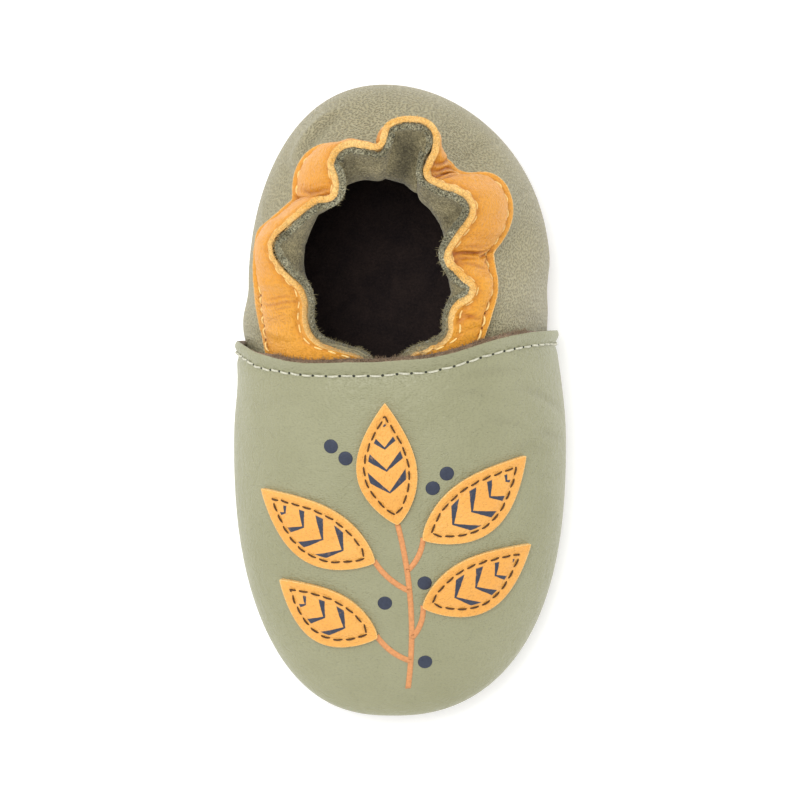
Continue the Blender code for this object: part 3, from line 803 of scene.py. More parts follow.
class Quarter:
    """Face of the heel, set in from the collar's lines: u goes round the heel, v from bulge to rim."""

    def __init__(self, inset, depth):
        self.outline = heel_path()
        self.depth = depth
        knots = np.array(COLLAR)
        dense = catmull_rom(knots)
        place = run_lengths((dense[:, :2] + dense[:, 2:]) / 2)
        even = np.linspace(0.0, place[-1], PATH_STEPS)
        lines = along_line(place, dense, even)
        self.place = PlanPath(mean_line((lines[:, :2] + lines[:, 2:]) / 2, MEAN_REACH)).share
        self.fold_places = np.interp(place[::SPAN_STEPS], even, self.place)
        self.rim, self.foot = (self.set_in(line, inset) for line in (lines[:, :2], lines[:, 2:]))
        self.draw_in = even_out(self.neck_step(self.place), even, NECK_EASE)

    @staticmethod
    def set_in(line, inset):
        """A plan line of the collar moved toward its mouth, evenly where it bends."""
        ahead = unit(np.gradient(line, axis=0))
        aside = np.stack((-ahead[:, 1], ahead[:, 0]), axis=1)
        return line + inset * even_out(aside, run_lengths(line), INSET_EASE)

    def read(self, curve, u):
        return along_line(self.place, curve, u)

    def wing(self, u):
        """One where the quarter lies under the vamp, fading to none behind it."""
        return 1.0 - smoothstep(WING_END, WING_FADE, np.minimum(u, 1.0 - u))

    def lower(self, u, turn):
        """Wall below the bulge, turned in toward the sole, with its foot in the sole seam behind the vamp."""
        place = self.outline.at(u)
        behind = smoothstep(0.0, FOOT_REACH, behind_edge(place))
        inset = QUARTER_TUCK * self.wing(u) * (1.0 - behind * smoothstep(0.0, 1.0, turn))
        return seam_wall(place, -self.outline.left_normal(u), turn, inset)

    def sleeve(self, u, v):
        """Folded form above the bulge, from the bulge past the cuff's foot to the rim."""
        wing = self.wing(u)[..., None]
        base = self.outline.at(u) + self.outline.left_normal(u) * QUARTER_TUCK * wing
        foot = self.read(self.foot, u)
        rim = self.read(self.rim, u)
        back = (rim[..., 1] - EDGE_MID) / (HEEL_TIP - RIM_END - EDGE_MID)
        rim_height = lerp(THROAT_HEIGHT, HEEL_HEIGHT, back)
        from_throat = smoothstep(DROP_START, DROP_FULL, np.minimum(u, 1.0 - u))
        drop = lerp(np.where(u < 0.5, DROP_OUTER, DROP_INNER), DROP_HEEL, from_throat)
        start = np.concatenate((base, np.full((*u.shape, 1), BULGE_HEIGHT)), axis=-1)
        middle = np.concatenate((foot, (rim_height - drop)[..., None]), axis=-1)
        end = np.concatenate((rim, rim_height[..., None]), axis=-1)
        up = np.array((0.0, 0.0, 1.0))
        first, second = middle - start, end - middle
        first_size = np.linalg.norm(first, axis=-1, keepdims=True)
        second_size = np.linalg.norm(second, axis=-1, keepdims=True)
        through = unit(unit(first) + unit(second))
        top = unit(unit(second) + BAND_LIFT * up)
        low = np.clip(v / FOOT_SHARE, 0.0, 1.0)[..., None]
        high = np.clip((v - FOOT_SHARE) / (1.0 - FOOT_SHARE), 0.0, 1.0)[..., None]
        leave = start + up * RIB_RISE * first[..., 2:]
        wall = bezier(start, leave, middle - through * RIB_ARRIVE * first_size, middle, low)
        leave = middle + through * BAND_PULL * second_size
        band = bezier(middle, leave, end - top * BAND_PULL * second_size, end, high)
        free = np.where((v < FOOT_SHARE)[..., None], wall, band)
        gone = 1.0 - np.maximum(np.cos(low * np.pi / 2), 0.0) ** (2.0 / ARCH_WIDTH_POWER)
        plan = lerp(lerp(base, foot, gone), rim, high)
        depth = lerp(QUARTER_TUCK, self.depth, under_cuff(v))
        under = np.concatenate((plan, crown(plan[..., 0], plan[..., 1], depth)[..., None]), axis=-1)
        return lerp(free, under, wing)

    def neck_step(self, u):
        """Plan step from the sleeve to the neck, none where a pinch already lies inside it."""
        start = self.sleeve(u, np.full(u.shape, NECK_SHARE))[..., :2] - (NECK_X, NECK_Y)
        size = np.hypot(start[..., 0] / NECK_HALF_WIDTH, start[..., 1] / NECK_HALF_LENGTH)[..., None]
        step = start / size - start
        depth = np.linalg.norm(step, axis=-1, keepdims=True)
        step = step * np.minimum(NECK_MOST / np.maximum(depth, TINY), 1.0)
        return np.where(size > 1.0, step, 0.0) * (1.0 - self.wing(u))[..., None]

    def wall(self, u, v):
        """Wall above the bulge, drawn in to the neck and out again to the rim."""
        point = self.sleeve(u, v)
        share = window(v, FOOT_SHARE, NECK_SHARE, NECK_SHARE, 1.0)
        point[..., :2] += self.read(self.draw_in, u) * share[..., None]
        return point


def vamp_form(share, t):
    """The vamp's plain outer face: share goes from the inner corner round the toe, t from seam to ridge."""
    rise = np.clip((t - LOWER_SHARE) / (1.0 - LOWER_SHARE), 0.0, 1.0)
    out = np.maximum(np.cos(rise * math.pi / 2), 0.0) ** (2.0 / ARCH_WIDTH_POWER)
    side = np.minimum(share, 1.0 - share)
    sign = np.where(share < 0.5, -1.0, 1.0)
    along = np.clip(1.0 - side / SIDE_SHARE, 0.0, 1.0)
    y = np.full(share.shape, BALL_Y)
    for _ in range(EDGE_ROUNDS):
        x = sign * out * half_width(y)
        y = lerp(BALL_Y, vamp_edge(x), along)
    turn = np.clip((share - SIDE_SHARE) / (1.0 - 2 * SIDE_SHARE), 0.0, 1.0)
    toe = toe_fan(turn)
    ahead = toe_fan(np.minimum(turn + SHARE_STEP, 1.0)) - toe_fan(np.maximum(turn - SHARE_STEP, 0.0))
    hub = np.array((0.0, BALL_Y))
    toe_plan = hub + (toe - hub) * out[..., None]
    toe_plan[..., 0] += centre_line(toe_plan[..., 1]) - centre_line(toe[..., 1]) * out
    fan = (side >= SIDE_SHARE)[..., None]
    place = np.where(fan, toe, np.stack((sign * half_width(y), y), axis=-1))
    outward = np.where(fan, unit(np.stack((ahead[..., 1], -ahead[..., 0]), axis=-1)),
                       np.stack((sign, np.zeros_like(sign)), axis=-1))
    plan = np.where(fan, toe_plan, np.stack((x, y), axis=-1))
    wall = seam_wall(place, outward, np.clip(1.0 - t / LOWER_SHARE, 0.0, 1.0), np.zeros_like(t))
    top = np.concatenate((plan, crown(plan[..., 0], plan[..., 1])[..., None]), axis=-1)
    return np.where((t < LOWER_SHARE)[..., None], wall, top)


def sole_puckers(share, t, count):
    """Small gathers of the leather just above the sole seam, which it is turned into."""
    drift = PUCKER_DRIFT * np.sin(2 * np.pi * PUCKER_BEATS * share)
    wave = np.sin(2 * np.pi * count * share + drift)
    return PUCKER * (0.5 + 0.5 * wave) * window(t / LOWER_SHARE, *PUCKER_BAND)


def vamp_points(sizes):
    """Grid of the vamp's outer face."""
    share, t = shares(VAMP_GRID)
    plain = vamp_form(share, t)
    relief = vamp_relief(plain[..., 0], plain[..., 1], sizes.lip / MM)
    relief *= smoothstep(0.0, VAMP_CALM * LOWER_SHARE, t)
    ends = smoothstep(*VAMP_PUCKER_ENDS, np.minimum(share, 1.0 - share))
    relief += sole_puckers(share, t, VAMP_PUCKERS) * ends
    return plain + grid_normals(plain) * relief[..., None]


def side_swell(u, y):
    """Fullness of the quarter where it comes out from under the vamp, more on the inner side."""
    inner, outer = (swell.most * bell(y - swell.y, swell.reach) for swell in (SWELL_INNER, SWELL_OUTER))
    return np.where(u > 0.5, inner, outer) * smoothstep(SWELL_START, SWELL_FULL, y)


def eased(points, weight, rounds):
    """Points of a grid drawn to the mean of their neighbours, as far as the weight of each allows."""
    for _ in range(rounds):
        mean = points.copy()
        mean[1:-1, 1:-1] = (points[:-2, 1:-1] + points[2:, 1:-1] + points[1:-1, :-2] + points[1:-1, 2:]) / 4
        points = lerp(points, mean, weight[..., None])
    return points


def quarter_points(sizes):
    """Grid of the quarter's outer face, which lies inside the cuff."""
    quarter = Quarter(sizes.cuff_leather / MM + CUFF_GAP, QUARTER_TUCK + QUARTER_UNDER_CUFF)
    u, t = shares(QUARTER_GRID)
    v = np.clip((t - LOWER_SHARE) / (1.0 - LOWER_SHARE), 0.0, 1.0)
    lower = quarter.lower(u, np.clip(1.0 - t / LOWER_SHARE, 0.0, 1.0))
    plain = np.where((t < LOWER_SHARE)[..., None], lower, quarter.wall(u, v))
    x, y = plain[..., 0], plain[..., 1]
    relief = crease_relief(x, y, QUARTER_CREASES) * window(v, *CREASE_BAND)
    relief += crease_relief(x, y, LINING_RIDGES) * smoothstep(NECK_SHARE, NECK_SHARE + LINING_RISE, v)
    relief += sole_puckers(u, t, QUARTER_PUCKERS) * smoothstep(WING_END, WING_FADE, np.minimum(u, 1.0 - u))
    points = plain + grid_normals(plain) * relief[..., None]
    points = tuck(points, QUARTER_TUCK + QUARTER_UNDER_CUFF * under_cuff(v))
    # Beside the lip the tuck is smoothed out below the cuff, and the wall is then let out to its fullness
    beside = window(behind_edge(plain), *LIP_BAND)
    below = smoothstep(EASE_FOOT, LOWER_SHARE, t) * smoothstep(EASE_TOP, EASE_FULL, v)
    points = eased(points, EASE_WEIGHT * beside * below, LIP_EASE_ROUNDS)
    swell = side_swell(u, y) * smoothstep(0.0, LOWER_SHARE, t) * smoothstep(FOOT_SHARE, SWELL_TOP, v)
    points[..., :2] -= quarter.outline.left_normal(u) * swell[..., None]
    return points


class Cuff:
    """Grid of the cuff's outer face, with the lengths and depths that its seams, its cut edge's colour and
    its painted shade follow.
    """

    def __init__(self, sizes):
        quarter = Quarter(0.0, CUFF_TUCK)
        share, t = shares(CUFF_GRID)
        outer = self.cut(quarter, t[0], *OUTER_END)
        inner = self.cut(quarter, t[0], *INNER_END)
        u = lerp(outer, inner, share)
        plain = quarter.sleeve(u, lerp(FOOT_SHARE, 1.0, t))
        self.up = rib_lengths(plain)
        self.height = self.up[:, -1:]
        middle = CUFF_GRID[1] // 2
        run = run_lengths(plain[:, middle])
        swell = smoothstep(CUFF_SWELL_START, CUFF_SWELL, behind_edge(plain))
        low = self.up - CUFF_SEAM
        high = self.height - self.up - CUFF_SEAM
        room = np.clip(low / np.maximum(low + high, TINY), 0.0, 1.0)
        relief = sizes.puff / MM * np.sin(np.pi * room) ** PUFF_POWER
        pleats = self.pleat_relief(quarter, u[:, middle], run)
        seams = FOOT_DENT * bell(low, DENT_WIDTH) + RIM_DENT * bell(high, DENT_WIDTH)
        seams -= FOOT_PRESS * edge_rise(self.up, CUFF_SEAM)
        pucker = 0.5 + 0.5 * np.cos(2 * np.pi * run / (sizes.cuff_pitch / MM))
        beside = bell(low, CUFF_PUCKER_WIDTH) + bell(high, CUFF_PUCKER_WIDTH)
        seams += CUFF_PUCKER * pucker[:, None] * beside
        ripple = sum(rise * np.sin(run * 2 * np.pi / pitch + start) for rise, pitch, start in RIPPLES)
        relief = relief + ripple[:, None] * np.sin(np.pi * room) + pleats - seams
        offset = even_rows(grid_normals(plain) * (relief * swell)[..., None], CUFF_ROUNDS)
        self.points = tuck(plain + offset, CUFF_TUCK)
        self.normals = grid_normals(self.points)
        # Painted shade in the troughs of the pleats and in the dents of the two seams
        dents = DENT_SHADE_MOST * np.clip(seams / DENT_SHADE, 0.0, 1.0)
        self.painted_shade = np.clip(-pleats / PLEAT_SHADE, 0.0, 1.0) * swell + dents
        self.margin = np.minimum(self.up, self.height - self.up)
        self.thickness = np.ones_like(run)
        for fold, change, reach in RIM_SWELLS:
            start = np.interp(quarter.fold_places[fold], u[:, middle], run)
            self.thickness += change * bell(run - start, reach)

    @staticmethod
    def cut(quarter, levels, near, far):
        """Places round the collar where the cuff runs under the vamp's lip, one for each level."""
        near = np.full(levels.shape, near)
        far = np.full(levels.shape, far)
        v = lerp(FOOT_SHARE, 1.0, levels)
        for _ in range(CUT_ROUNDS):
            middle = (near + far) / 2
            free = behind_edge(quarter.sleeve(middle, v)) + CUFF_UNDER > 0.0
            far = np.where(free, middle, far)
            near = np.where(free, near, middle)
        return far

    def pleat_relief(self, quarter, u, run):
        """Creases that run down from the folds of the rim."""
        relief = np.zeros_like(self.up)
        for pleat in PLEATS:
            start = np.interp(quarter.fold_places[pleat.fold], u, run)
            share = self.up / self.height
            aside = run[:, None] - start - lerp(pleat.foot_step, pleat.rim_step, share)
            within = np.clip((share - pleat.foot) / (pleat.top - pleat.foot), 0.0, 1.0)
            wander = PLEAT_WANDER * np.sin(share * PLEAT_TURNS + pleat.fold)
            relief += pleat.depth * bell(aside + wander, pleat.width) * np.sin(np.pi * within) ** PLEAT_TAPER
        return relief


def line_at(points, field, level):
    """Points where a field that grows along the second axis of the grid reaches a level."""
    levels = np.broadcast_to(level, points.shape[:1])
    return np.array([along_line(field[row], points[row], levels[row]) for row in range(len(points))])


def vamp_seam(points):
    """Line of the vamp's seam over the shoe, with its normals."""
    normals = grid_normals(points)
    back = vamp_edge(points[..., 0]) - points[..., 1] - seam_inset(points[..., 0])
    side = int(VAMP_GRID[0] * SIDE_SHARE)
    lines = []
    for way in (1, -1):
        field = np.maximum.accumulate(np.swapaxes(back[::way][:side], 0, 1), axis=1)
        grids = [np.swapaxes(values[::way][:side], 0, 1) for values in (points, normals)]
        lines.append([line_at(grid, field, 0.0) for grid in grids])
    return tuple(np.concatenate((lines[0][part], lines[1][part][::-1][1:])) for part in (0, 1))


def leaf_plan(leaf, along, side):
    """Plan places of a leaf, with the distances along and across its midrib."""
    base = np.array((leaf.base_x, leaf.base_y))
    reach = np.array((leaf.tip_x, leaf.tip_y)) - base
    size = np.linalg.norm(reach)
    across = np.array((-reach[1], reach[0])) / size
    wide = leaf.width / 2 * np.sin(math.pi * along ** LEAF_BASE_POWER) ** LEAF_TIP_POWER
    offset = (2.0 * side - 1.0) * wide
    aside = offset + leaf.bend * 4 * along * (1.0 - along)
    plan = base + reach * along[..., None] + across * aside[..., None]
    return plan, along * size, offset


def leaf_outline(leaf):
    """Closed outline of a leaf, in plan."""
    along = (1.0 - np.cos(np.linspace(0.0, math.pi, LEAF_STEPS))) / 2
    right = leaf_plan(leaf, along, np.zeros_like(along))[0]
    left = leaf_plan(leaf, along, np.ones_like(along))[0]
    return np.concatenate((right, left[::-1][1:]))


def from_outline(plan, outline):
    """Distance of plan places from an outline."""
    flat = plan.reshape(-1, 2)
    nearest = np.full(len(flat), np.inf)
    for start, end in zip(outline, outline[1:]):
        reach = end - start
        share = np.clip((flat - start) @ reach / max(reach @ reach, TINY), 0.0, 1.0)
        nearest = np.minimum(nearest, np.linalg.norm(flat - start - share[:, None] * reach, axis=1))
    return nearest.reshape(plan.shape[:-1])


def leaf_height(margin, leather):
    """Height of a leaf's outer face over the vamp: pressed down at its seam, fuller in the middle."""
    full = LEAF_GAP + leather + LEAF_FULL * smoothstep(LEAF_FULL_START, LEAF_FULL_END, margin)
    dent = LEAF_DENT * bell(margin - LEAF_SEAM, LEAF_DENT_WIDTH)
    return full - dent - LEAF_EDGE * bell(margin, LEAF_EDGE_WIDTH)


def link(piece, slot, *nodes):
    """Sets a finished piece on the shoe's body and hides the solids that it stands for; the finish that it is
    given is not used.
    """
    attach(piece, BODY)
    if nodes:
        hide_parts(*nodes)


def hide_map(points):
    """Map of a sheet in millimetres: along it by its middle row, and up it by its ribs' own lengths."""
    along = run_lengths(points[:, points.shape[1] // 2])
    along = np.broadcast_to(along[:, None], points.shape[:2])
    return np.stack((along, even_rows(rib_lengths(points), MAP_ROUNDS)), axis=-1)


def vamp_map(points):
    """Map of the vamp in millimetres: from the ridge out along each rib, in the rib's own plan direction."""
    down = rib_lengths(points[:, ::-1])[:, ::-1]
    ridge = points[:, -1:, :2]
    bulge = int(LOWER_SHARE * VAMP_GRID[1])
    return ridge + unit(points[:, bulge:bulge + 1, :2] - ridge) * down[..., None]


def even_rows(values, rounds):
    """Values of a grid averaged with their neighbours along its first axis."""
    for _ in range(rounds):
        inner = (values[:-2] + 2.0 * values[1:-1] + values[2:]) / 4
        values = np.concatenate((values[:1], inner, values[-1:]))
    return values


def cap(start, end, ahead, rough):
    """Rows that go round the edge of a sheet, from one face to the other."""
    middle, half = (start + end) / 2, (start - end) / 2
    out = unit(ahead) * np.linalg.norm(half, axis=-1, keepdims=True) * rough[:, None]
    turns = np.linspace(0.0, math.pi, CAP_STEPS + 2)[1:-1]
    return np.stack([middle + half * math.cos(turn) + out * math.sin(turn) for turn in turns], axis=1)


def wrap(points, thickness, seed):
    """Rows of a sheet's outer face, over its rough top edge, down its inner face and round its foot."""
    inner = points - even_rows(grid_normals(points), EVEN_ROUNDS) * np.reshape(thickness, (-1, 1, 1))
    rough = np.random.default_rng(seed).normal(EDGE_ROUND, EDGE_ROUGH, (2, len(points)))
    top = cap(points[:, -1], inner[:, -1], points[:, -1] - points[:, -2], rough[0])
    foot = cap(inner[:, 0], points[:, 0], points[:, 0] - points[:, 1], rough[1])
    return np.concatenate((points, top, inner[:, ::-1], foot, points[:, :1]), axis=1)


def wrap_field(values):
    """Values of a sheet's outer face carried over its edges and its inner face, as wrap() lays the rows."""
    top = np.repeat(values[:, -1:], CAP_STEPS, axis=1)
    foot = np.repeat(values[:, :1], CAP_STEPS + 1, axis=1)
    return np.concatenate((values, top, values[:, ::-1], foot), axis=1)


def rolled_sheet(name, points, materials, thickness, seed, fields):
    """A thick sheet with rounded edges: grain side, flesh side and cut edge in turn."""
    face = [1] * (points.shape[1] - 1)
    edge = [2] * (CAP_STEPS + 1)
    rows = np.array([0] * len(face) + edge + face + edge)
    fields = {field: wrap_field(values) for field, values in fields.items()}
    hide = wrap_field(hide_map(points))
    return leather_sheet(name, wrap(points, thickness / MM, seed), materials, 0.0, fields, hide, rows=rows)


def leather_sheet(name, points, materials, thickness, fields=None, uv=None, bevel=BEVEL_SHARE, rows=None):
    """A sheet over a grid of points, thickened inward: grain side, flesh side and cut edge in turn.

    Points that already go round both faces have no thickness; rows then gives each row's material.
    """
    along, across = points.shape[0] - 1, points.shape[1] - 1
    shape = bmesh.new()
    bmesh.ops.create_grid(shape, x_segments=along, y_segments=across, size=0.5)
    mesh = bpy.data.meshes.new(name)
    shape.to_mesh(mesh)
    flat = np.empty(len(mesh.vertices) * 3)
    mesh.vertices.foreach_get("co", flat)
    flat = flat.reshape(-1, 3)
    i = np.rint((flat[:, 0] + 0.5) * along).astype(int)
    j = np.rint((flat[:, 1] + 0.5) * across).astype(int)
    if rows is not None:
        middles = np.empty(len(mesh.polygons) * 3)
        mesh.polygons.foreach_get("center", middles)
        row = np.floor((middles[1::3] + 0.5) * across).astype(int)
        mesh.polygons.foreach_set("material_index", rows[row])
    mesh.vertices.foreach_set("co", (points[i, j] * MM).ravel())
    for field, values in (fields or {}).items():
        mesh.attributes.new(field, "FLOAT", "POINT").data.foreach_set("value", values[i, j])
    if uv is not None:
        corners = np.empty(len(mesh.loops), dtype=np.int32)
        mesh.loops.foreach_get("vertex_index", corners)
        mesh.uv_layers.new(name="hide").data.foreach_set("uv", uv[i, j][corners].ravel())
    shape.clear()
    shape.from_mesh(mesh)
    bmesh.ops.remove_doubles(shape, verts=shape.verts, dist=MERGE * MM)
    if rows is not None:
        bmesh.ops.holes_fill(shape, edges=[edge for edge in shape.edges if edge.is_boundary], sides=0)
    shape.to_mesh(mesh)
    shape.free()
    piece = mesh_piece(name, mesh, *materials)
    if not thickness:
        mesh.set_sharp_from_angle(angle=SHARP_ANGLE)
        return piece
    solidify = piece.modifiers.new("Thickness", "SOLIDIFY")
    solidify.thickness = thickness
    solidify.offset = -1.0
    solidify.use_even_offset = False
    solidify.use_quality_normals = True
    solidify.material_offset = min(1, len(materials) - 1)
    solidify.material_offset_rim = len(materials) - 1
    if bevel:
        edges = piece.modifiers.new("Edges", "BEVEL")
        edges.offset_type = "PERCENT"
        edges.width_pct = bevel
        edges.segments = 2
        edges.limit_method = "ANGLE"
        edges.angle_limit = BEVEL_ANGLE
        edges.use_clamp_overlap = False
    return piece


def mesh_piece(name, mesh, *materials):
    """A finished mesh as a piece, shaded smooth."""
    mesh.name = name
    for material in materials:
        mesh.materials.append(material)
    mesh.polygons.foreach_set("use_smooth", np.ones(len(mesh.polygons), dtype=bool))
    piece = bpy.data.objects.new(name, mesh)
    bpy.context.collection.objects.link(piece)
    return piece


def strands(name, lines, radii, thickness, material, roundness=0):
    """Threads or fibres drawn as thin round curves and made a mesh."""
    curve = bpy.data.curves.new(name, "CURVE")
    curve.dimensions = "3D"
    curve.bevel_depth = thickness / 2
    curve.bevel_resolution = roundness
    curve.use_fill_caps = True
    for line in lines:
        spline = curve.splines.new("POLY")
        spline.points.add(len(line) - 1)
        spline.points.foreach_set("co", np.column_stack((line * MM, np.ones(len(line)))).ravel())
        spline.points.foreach_set("radius", radii)
    holder = bpy.data.objects.new(name, curve)
    mesh = bpy.data.meshes.new_from_object(holder)
    bpy.data.objects.remove(holder)
    bpy.data.curves.remove(curve)
    return mesh_piece(name, mesh, material)


def sew(line, normals, pitch, stitch, thread):
    """Stitches along a line, each dipping into the leather at its ends, and the needle holes between them."""
    chance = np.random.default_rng(stitch.seed)
    place = run_lengths(line)
    count = max(int(round(place[-1] / pitch)), 1)
    pitch = place[-1] / count
    share = np.linspace(-0.5, 0.5, STITCH_POINTS)
    bow = 1.0 - (2.0 * np.abs(share)) ** 3
    threads = []
    holes = []
    for number in range(count):
        at = (number + 0.5 + stitch.fill * share) * pitch
        point = along_line(place, line, at)
        normal = unit(along_line(place, normals, at))
        across = unit(np.cross(normal, np.gradient(point, axis=0)))
        lift = lerp(STITCH_DIP, STITCH_LIFT, bow) * thread
        slant = chance.normal(0.0, STITCH_SHIFT) * thread
        slant = slant + chance.normal(0.0, STITCH_SLANT) * thread * 2.0 * share
        threads.append(point + normal * lift[:, None] + across * slant[:, None])
        start = number * pitch
        holes.append((along_line(place, line, start), unit(along_line(place, normals, start))))
    return threads, holes


def dots(name, places, dot, material):
    """Flat round dots, each lying on the leather."""
    shape = bmesh.new()
    flat = Matrix.Diagonal((1.0, 1.0, dot.flat, 1.0))
    for point, normal in places:
        stand = Vector(normal).to_track_quat("Z", "Y").to_matrix().to_4x4()
        bmesh.ops.create_uvsphere(shape, u_segments=dot.around, v_segments=dot.over, radius=dot.radius * MM,
                                  matrix=Matrix.Translation(point * MM) @ stand @ flat)
    mesh = bpy.data.meshes.new(name)
    shape.to_mesh(mesh)
    shape.free()
    return mesh_piece(name, mesh, material)


def fuzz(line, outward, normals, thickness, reach, kind):
    """Short bent fibres that stand out of a cut edge."""
    chance = np.random.default_rng(kind.seed)
    place = run_lengths(line)
    reach = reach * kind.share
    lines = []
    for at in np.sort(chance.uniform(0.0, place[-1], int(place[-1] * kind.per_mm))):
        normal = unit(along_line(place, normals, at))
        way = unit(along_line(place, outward, at))
        side = np.cross(normal, way)
        base = along_line(place, line, at) - normal * thickness * chance.uniform(0.0, 1.0)
        ahead = unit(way + side * chance.normal(0.0, kind.spread) + normal * chance.normal(0.0, kind.spread))
        curl = unit(chance.normal(0.0, 1.0, 3)) * FIBRE_CURL
        size = reach * chance.uniform(FIBRE_SHORTEST, FIBRE_LONGEST)
        half = base + ahead * size * 0.5
        lines.append(np.stack((base - ahead * FIBRE_ROOT, half, base + (ahead + curl) * size)))
    return lines


def linear(code):
    """Linear colour, with full alpha, of an sRGB hex value."""
    parts = [int(code[start:start + 2], 16) / 255 for start in (0, 2, 4)]
    return (*(part / 12.92 if part <= 0.04045 else ((part + 0.055) / 1.055) ** 2.4 for part in parts), 1.0)


def tones(colours, name):
    """Light and deep tone of a material, as linear colours."""
    return [linear(getattr(colours, part)) for part in (name, name + "_deep")]


def put(tree, node, inputs):
    """Links an input where it is given another node's socket, and sets it where it is a value."""
    for name, value in inputs.items():
        if isinstance(value, bpy.types.NodeSocket):
            tree.links.new(value, node.inputs[name])
        else:
            node.inputs[name].default_value = value


def add(tree, kind, inputs=None, **settings):
    """Adds a node with its settings, values and links."""
    made = tree.nodes.new(kind)
    for name, value in settings.items():
        setattr(made, name, value)
    put(tree, made, inputs or {})
    return made


def noise(tree, place, size, detail, **more):
    """Noise with bumps of the given size in millimetres."""
    inputs = {"Vector": place, "Scale": 1 / (size * MM), "Detail": detail, **more}
    return add(tree, "ShaderNodeTexNoise", inputs).outputs["Fac"]


def span(tree, value, low, high, start=0.0, end=1.0, **settings):
    """A value between start and end carried over to lie between low and high."""
    inputs = {"Value": value, "From Min": start, "From Max": end, "To Min": low, "To Max": high}
    return add(tree, "ShaderNodeMapRange", inputs, **settings).outputs[0]


def reckon(tree, operation, *values):
    """One step of arithmetic with numbers or other nodes' sockets."""
    return add(tree, "ShaderNodeMath", dict(enumerate(values)), operation=operation).outputs[0]


def scaled(tree, tone, share):
    """A colour made lighter or darker by a share."""
    return add(tree, "ShaderNodeVectorMath", {0: tone, 3: share}, operation="SCALE").outputs[0]


def blend(tree, share, first, second):
    """One colour that goes over into another."""
    return add(tree, "ShaderNodeMix", {0: share, 6: first, 7: second}, data_type="RGBA").outputs[2]


def carried(tree, name):
    """A value that the points of a sheet carry."""
    return add(tree, "ShaderNodeAttribute", attribute_name=name).outputs["Fac"]


def bumps(tree, height, strength, depth, **more):
    """Bumps of the given depth in millimetres."""
    inputs = {"Height": height, "Strength": strength, "Distance": depth * MM, **more}
    return add(tree, "ShaderNodeBump", inputs).outputs[0]


def start_material(name):
    """An empty material with its shader, and Object coordinates in metres."""
    material = bpy.data.materials.new(name)
    material.use_nodes = True
    tree = material.node_tree
    place = add(tree, "ShaderNodeTexCoord").outputs["Object"]
    return material, tree, tree.nodes["Principled BSDF"], place


def grain_leather(name, pair, grain, fold=None, cut=None):
    """Drum-dyed sheep leather, grain side out: fine pebbles, soft clouds in the dye, a low even shine."""
    material, tree, shader, place = start_material(name)
    cloud = noise(tree, place, size=16.0, detail=5.0, Roughness=0.6)
    base = blend(tree, span(tree, cloud, 0.0, 1.0, start=0.25, end=0.75), *pair)
    # The pits between the pebbles are laid on the hide's own map in millimetres, a little longer one way
    hide = add(tree, "ShaderNodeUVMap", uv_map="hide").outputs[0]
    across = add(tree, "ShaderNodeVectorMath", {0: hide, 1: PEBBLE_FORM}, operation="MULTIPLY").outputs[0]
    cells = {"Vector": across, "Scale": 1 / grain.pebble, "Randomness": 0.85}
    pits = add(tree, "ShaderNodeTexVoronoi", cells, voronoi_dimensions="2D").outputs["Distance"]
    dip = span(tree, pits, 1.0, 0.0, start=0.08, end=0.43, interpolation_type="SMOOTHSTEP")
    # Painted shade in the pits between the pebbles, with their tops a little lighter to keep the mean tone
    base = scaled(tree, base, reckon(tree, "MULTIPLY_ADD", dip, -grain.valley, 1.0 + 0.3 * grain.valley))
    fine = noise(tree, place, size=0.35, detail=3.0)
    # Painted shade in the troughs of the creases and folds, in the fold colour
    if fold:
        base = blend(tree, carried(tree, "painted_shade"), base, fold)
    if cut:
        ragged = reckon(tree, "MULTIPLY_ADD", fine, -0.5, carried(tree, "margin"))
        base = blend(tree, span(tree, ragged, 1.0, 0.0, start=-0.25, end=-0.05), base, cut)
    # Soft slack of the hide lies under the grain, in wrinkles about 2.4 mm apart
    slack = noise(tree, place, size=2.4, detail=1.0, Distortion=1.2)
    slack = bumps(tree, slack, strength=0.8, depth=WRINKLE)
    height = reckon(tree, "MULTIPLY_ADD", dip, -2.0, fine)
    put(tree, shader, {
        "Base Color": base,
        "Roughness": span(tree, fine, grain.roughness - 0.08, grain.roughness + 0.10),
        "Normal": bumps(tree, height, strength=0.8, depth=0.5 * grain.depth, Normal=slack),
        "IOR": 1.5,
        "Specular IOR Level": 0.38,
    })
    return material


def nap_leather(name, pair, nap, painted_lining_shade=False):
    """Brushed flesh side of leather: a short nap that lies light and dark in patches, with no gloss."""
    material, tree, shader, place = start_material(name)
    light, deep = pair
    patch = noise(tree, place, size=4.5, detail=3.0, Distortion=0.6)
    hair = noise(tree, place, size=nap.size, detail=4.0, Roughness=0.7)
    both = reckon(tree, "MULTIPLY_ADD", patch, 0.8, hair)
    base = blend(tree, span(tree, both, 0.0, 1.0, start=0.68, end=1.12), deep, light)
    # Single fibres are about 0.05 mm thick, drawn as flecks of 0.3 mm so that they show
    flecks = noise(tree, place, size=0.3, detail=1.0)
    base = scaled(tree, base, span(tree, flecks, 1.0 - nap.fleck, 1.0 + nap.fleck, start=0.36, end=0.64))
    if painted_lining_shade:
        # Painted shade: the lining is darker where its wall lies deep in the heel's lobes
        base = scaled(tree, base, span(tree, carried(tree, "painted_lining_shade"), 1.0, 0.36))
    put(tree, shader, {
        "Base Color": base,
        "Normal": bumps(tree, hair, strength=0.9, depth=0.5 * nap.size),
        "Roughness": 0.95,
        "Specular IOR Level": 0.15,
        "Sheen Weight": nap.sheen,
        "Sheen Roughness": 0.5,
    })
    return material


def spun_thread(name, tone):
    """Bonded sewing thread: tight plies that catch a little light between darker turns."""
    material, tree, shader, place = start_material(name)
    # The plies are about 0.2 mm apart, drawn at 0.45 mm so that they show
    ply = noise(tree, place, size=0.45, detail=2.0)
    put(tree, shader, {
        "Base Color": scaled(tree, tone[:3], span(tree, ply, 0.72, 1.08, start=0.3, end=0.7)),
        "Normal": bumps(tree, ply, strength=0.6, depth=0.1),
        "Roughness": 0.6,
        "Specular IOR Level": 0.3,
    })
    return material


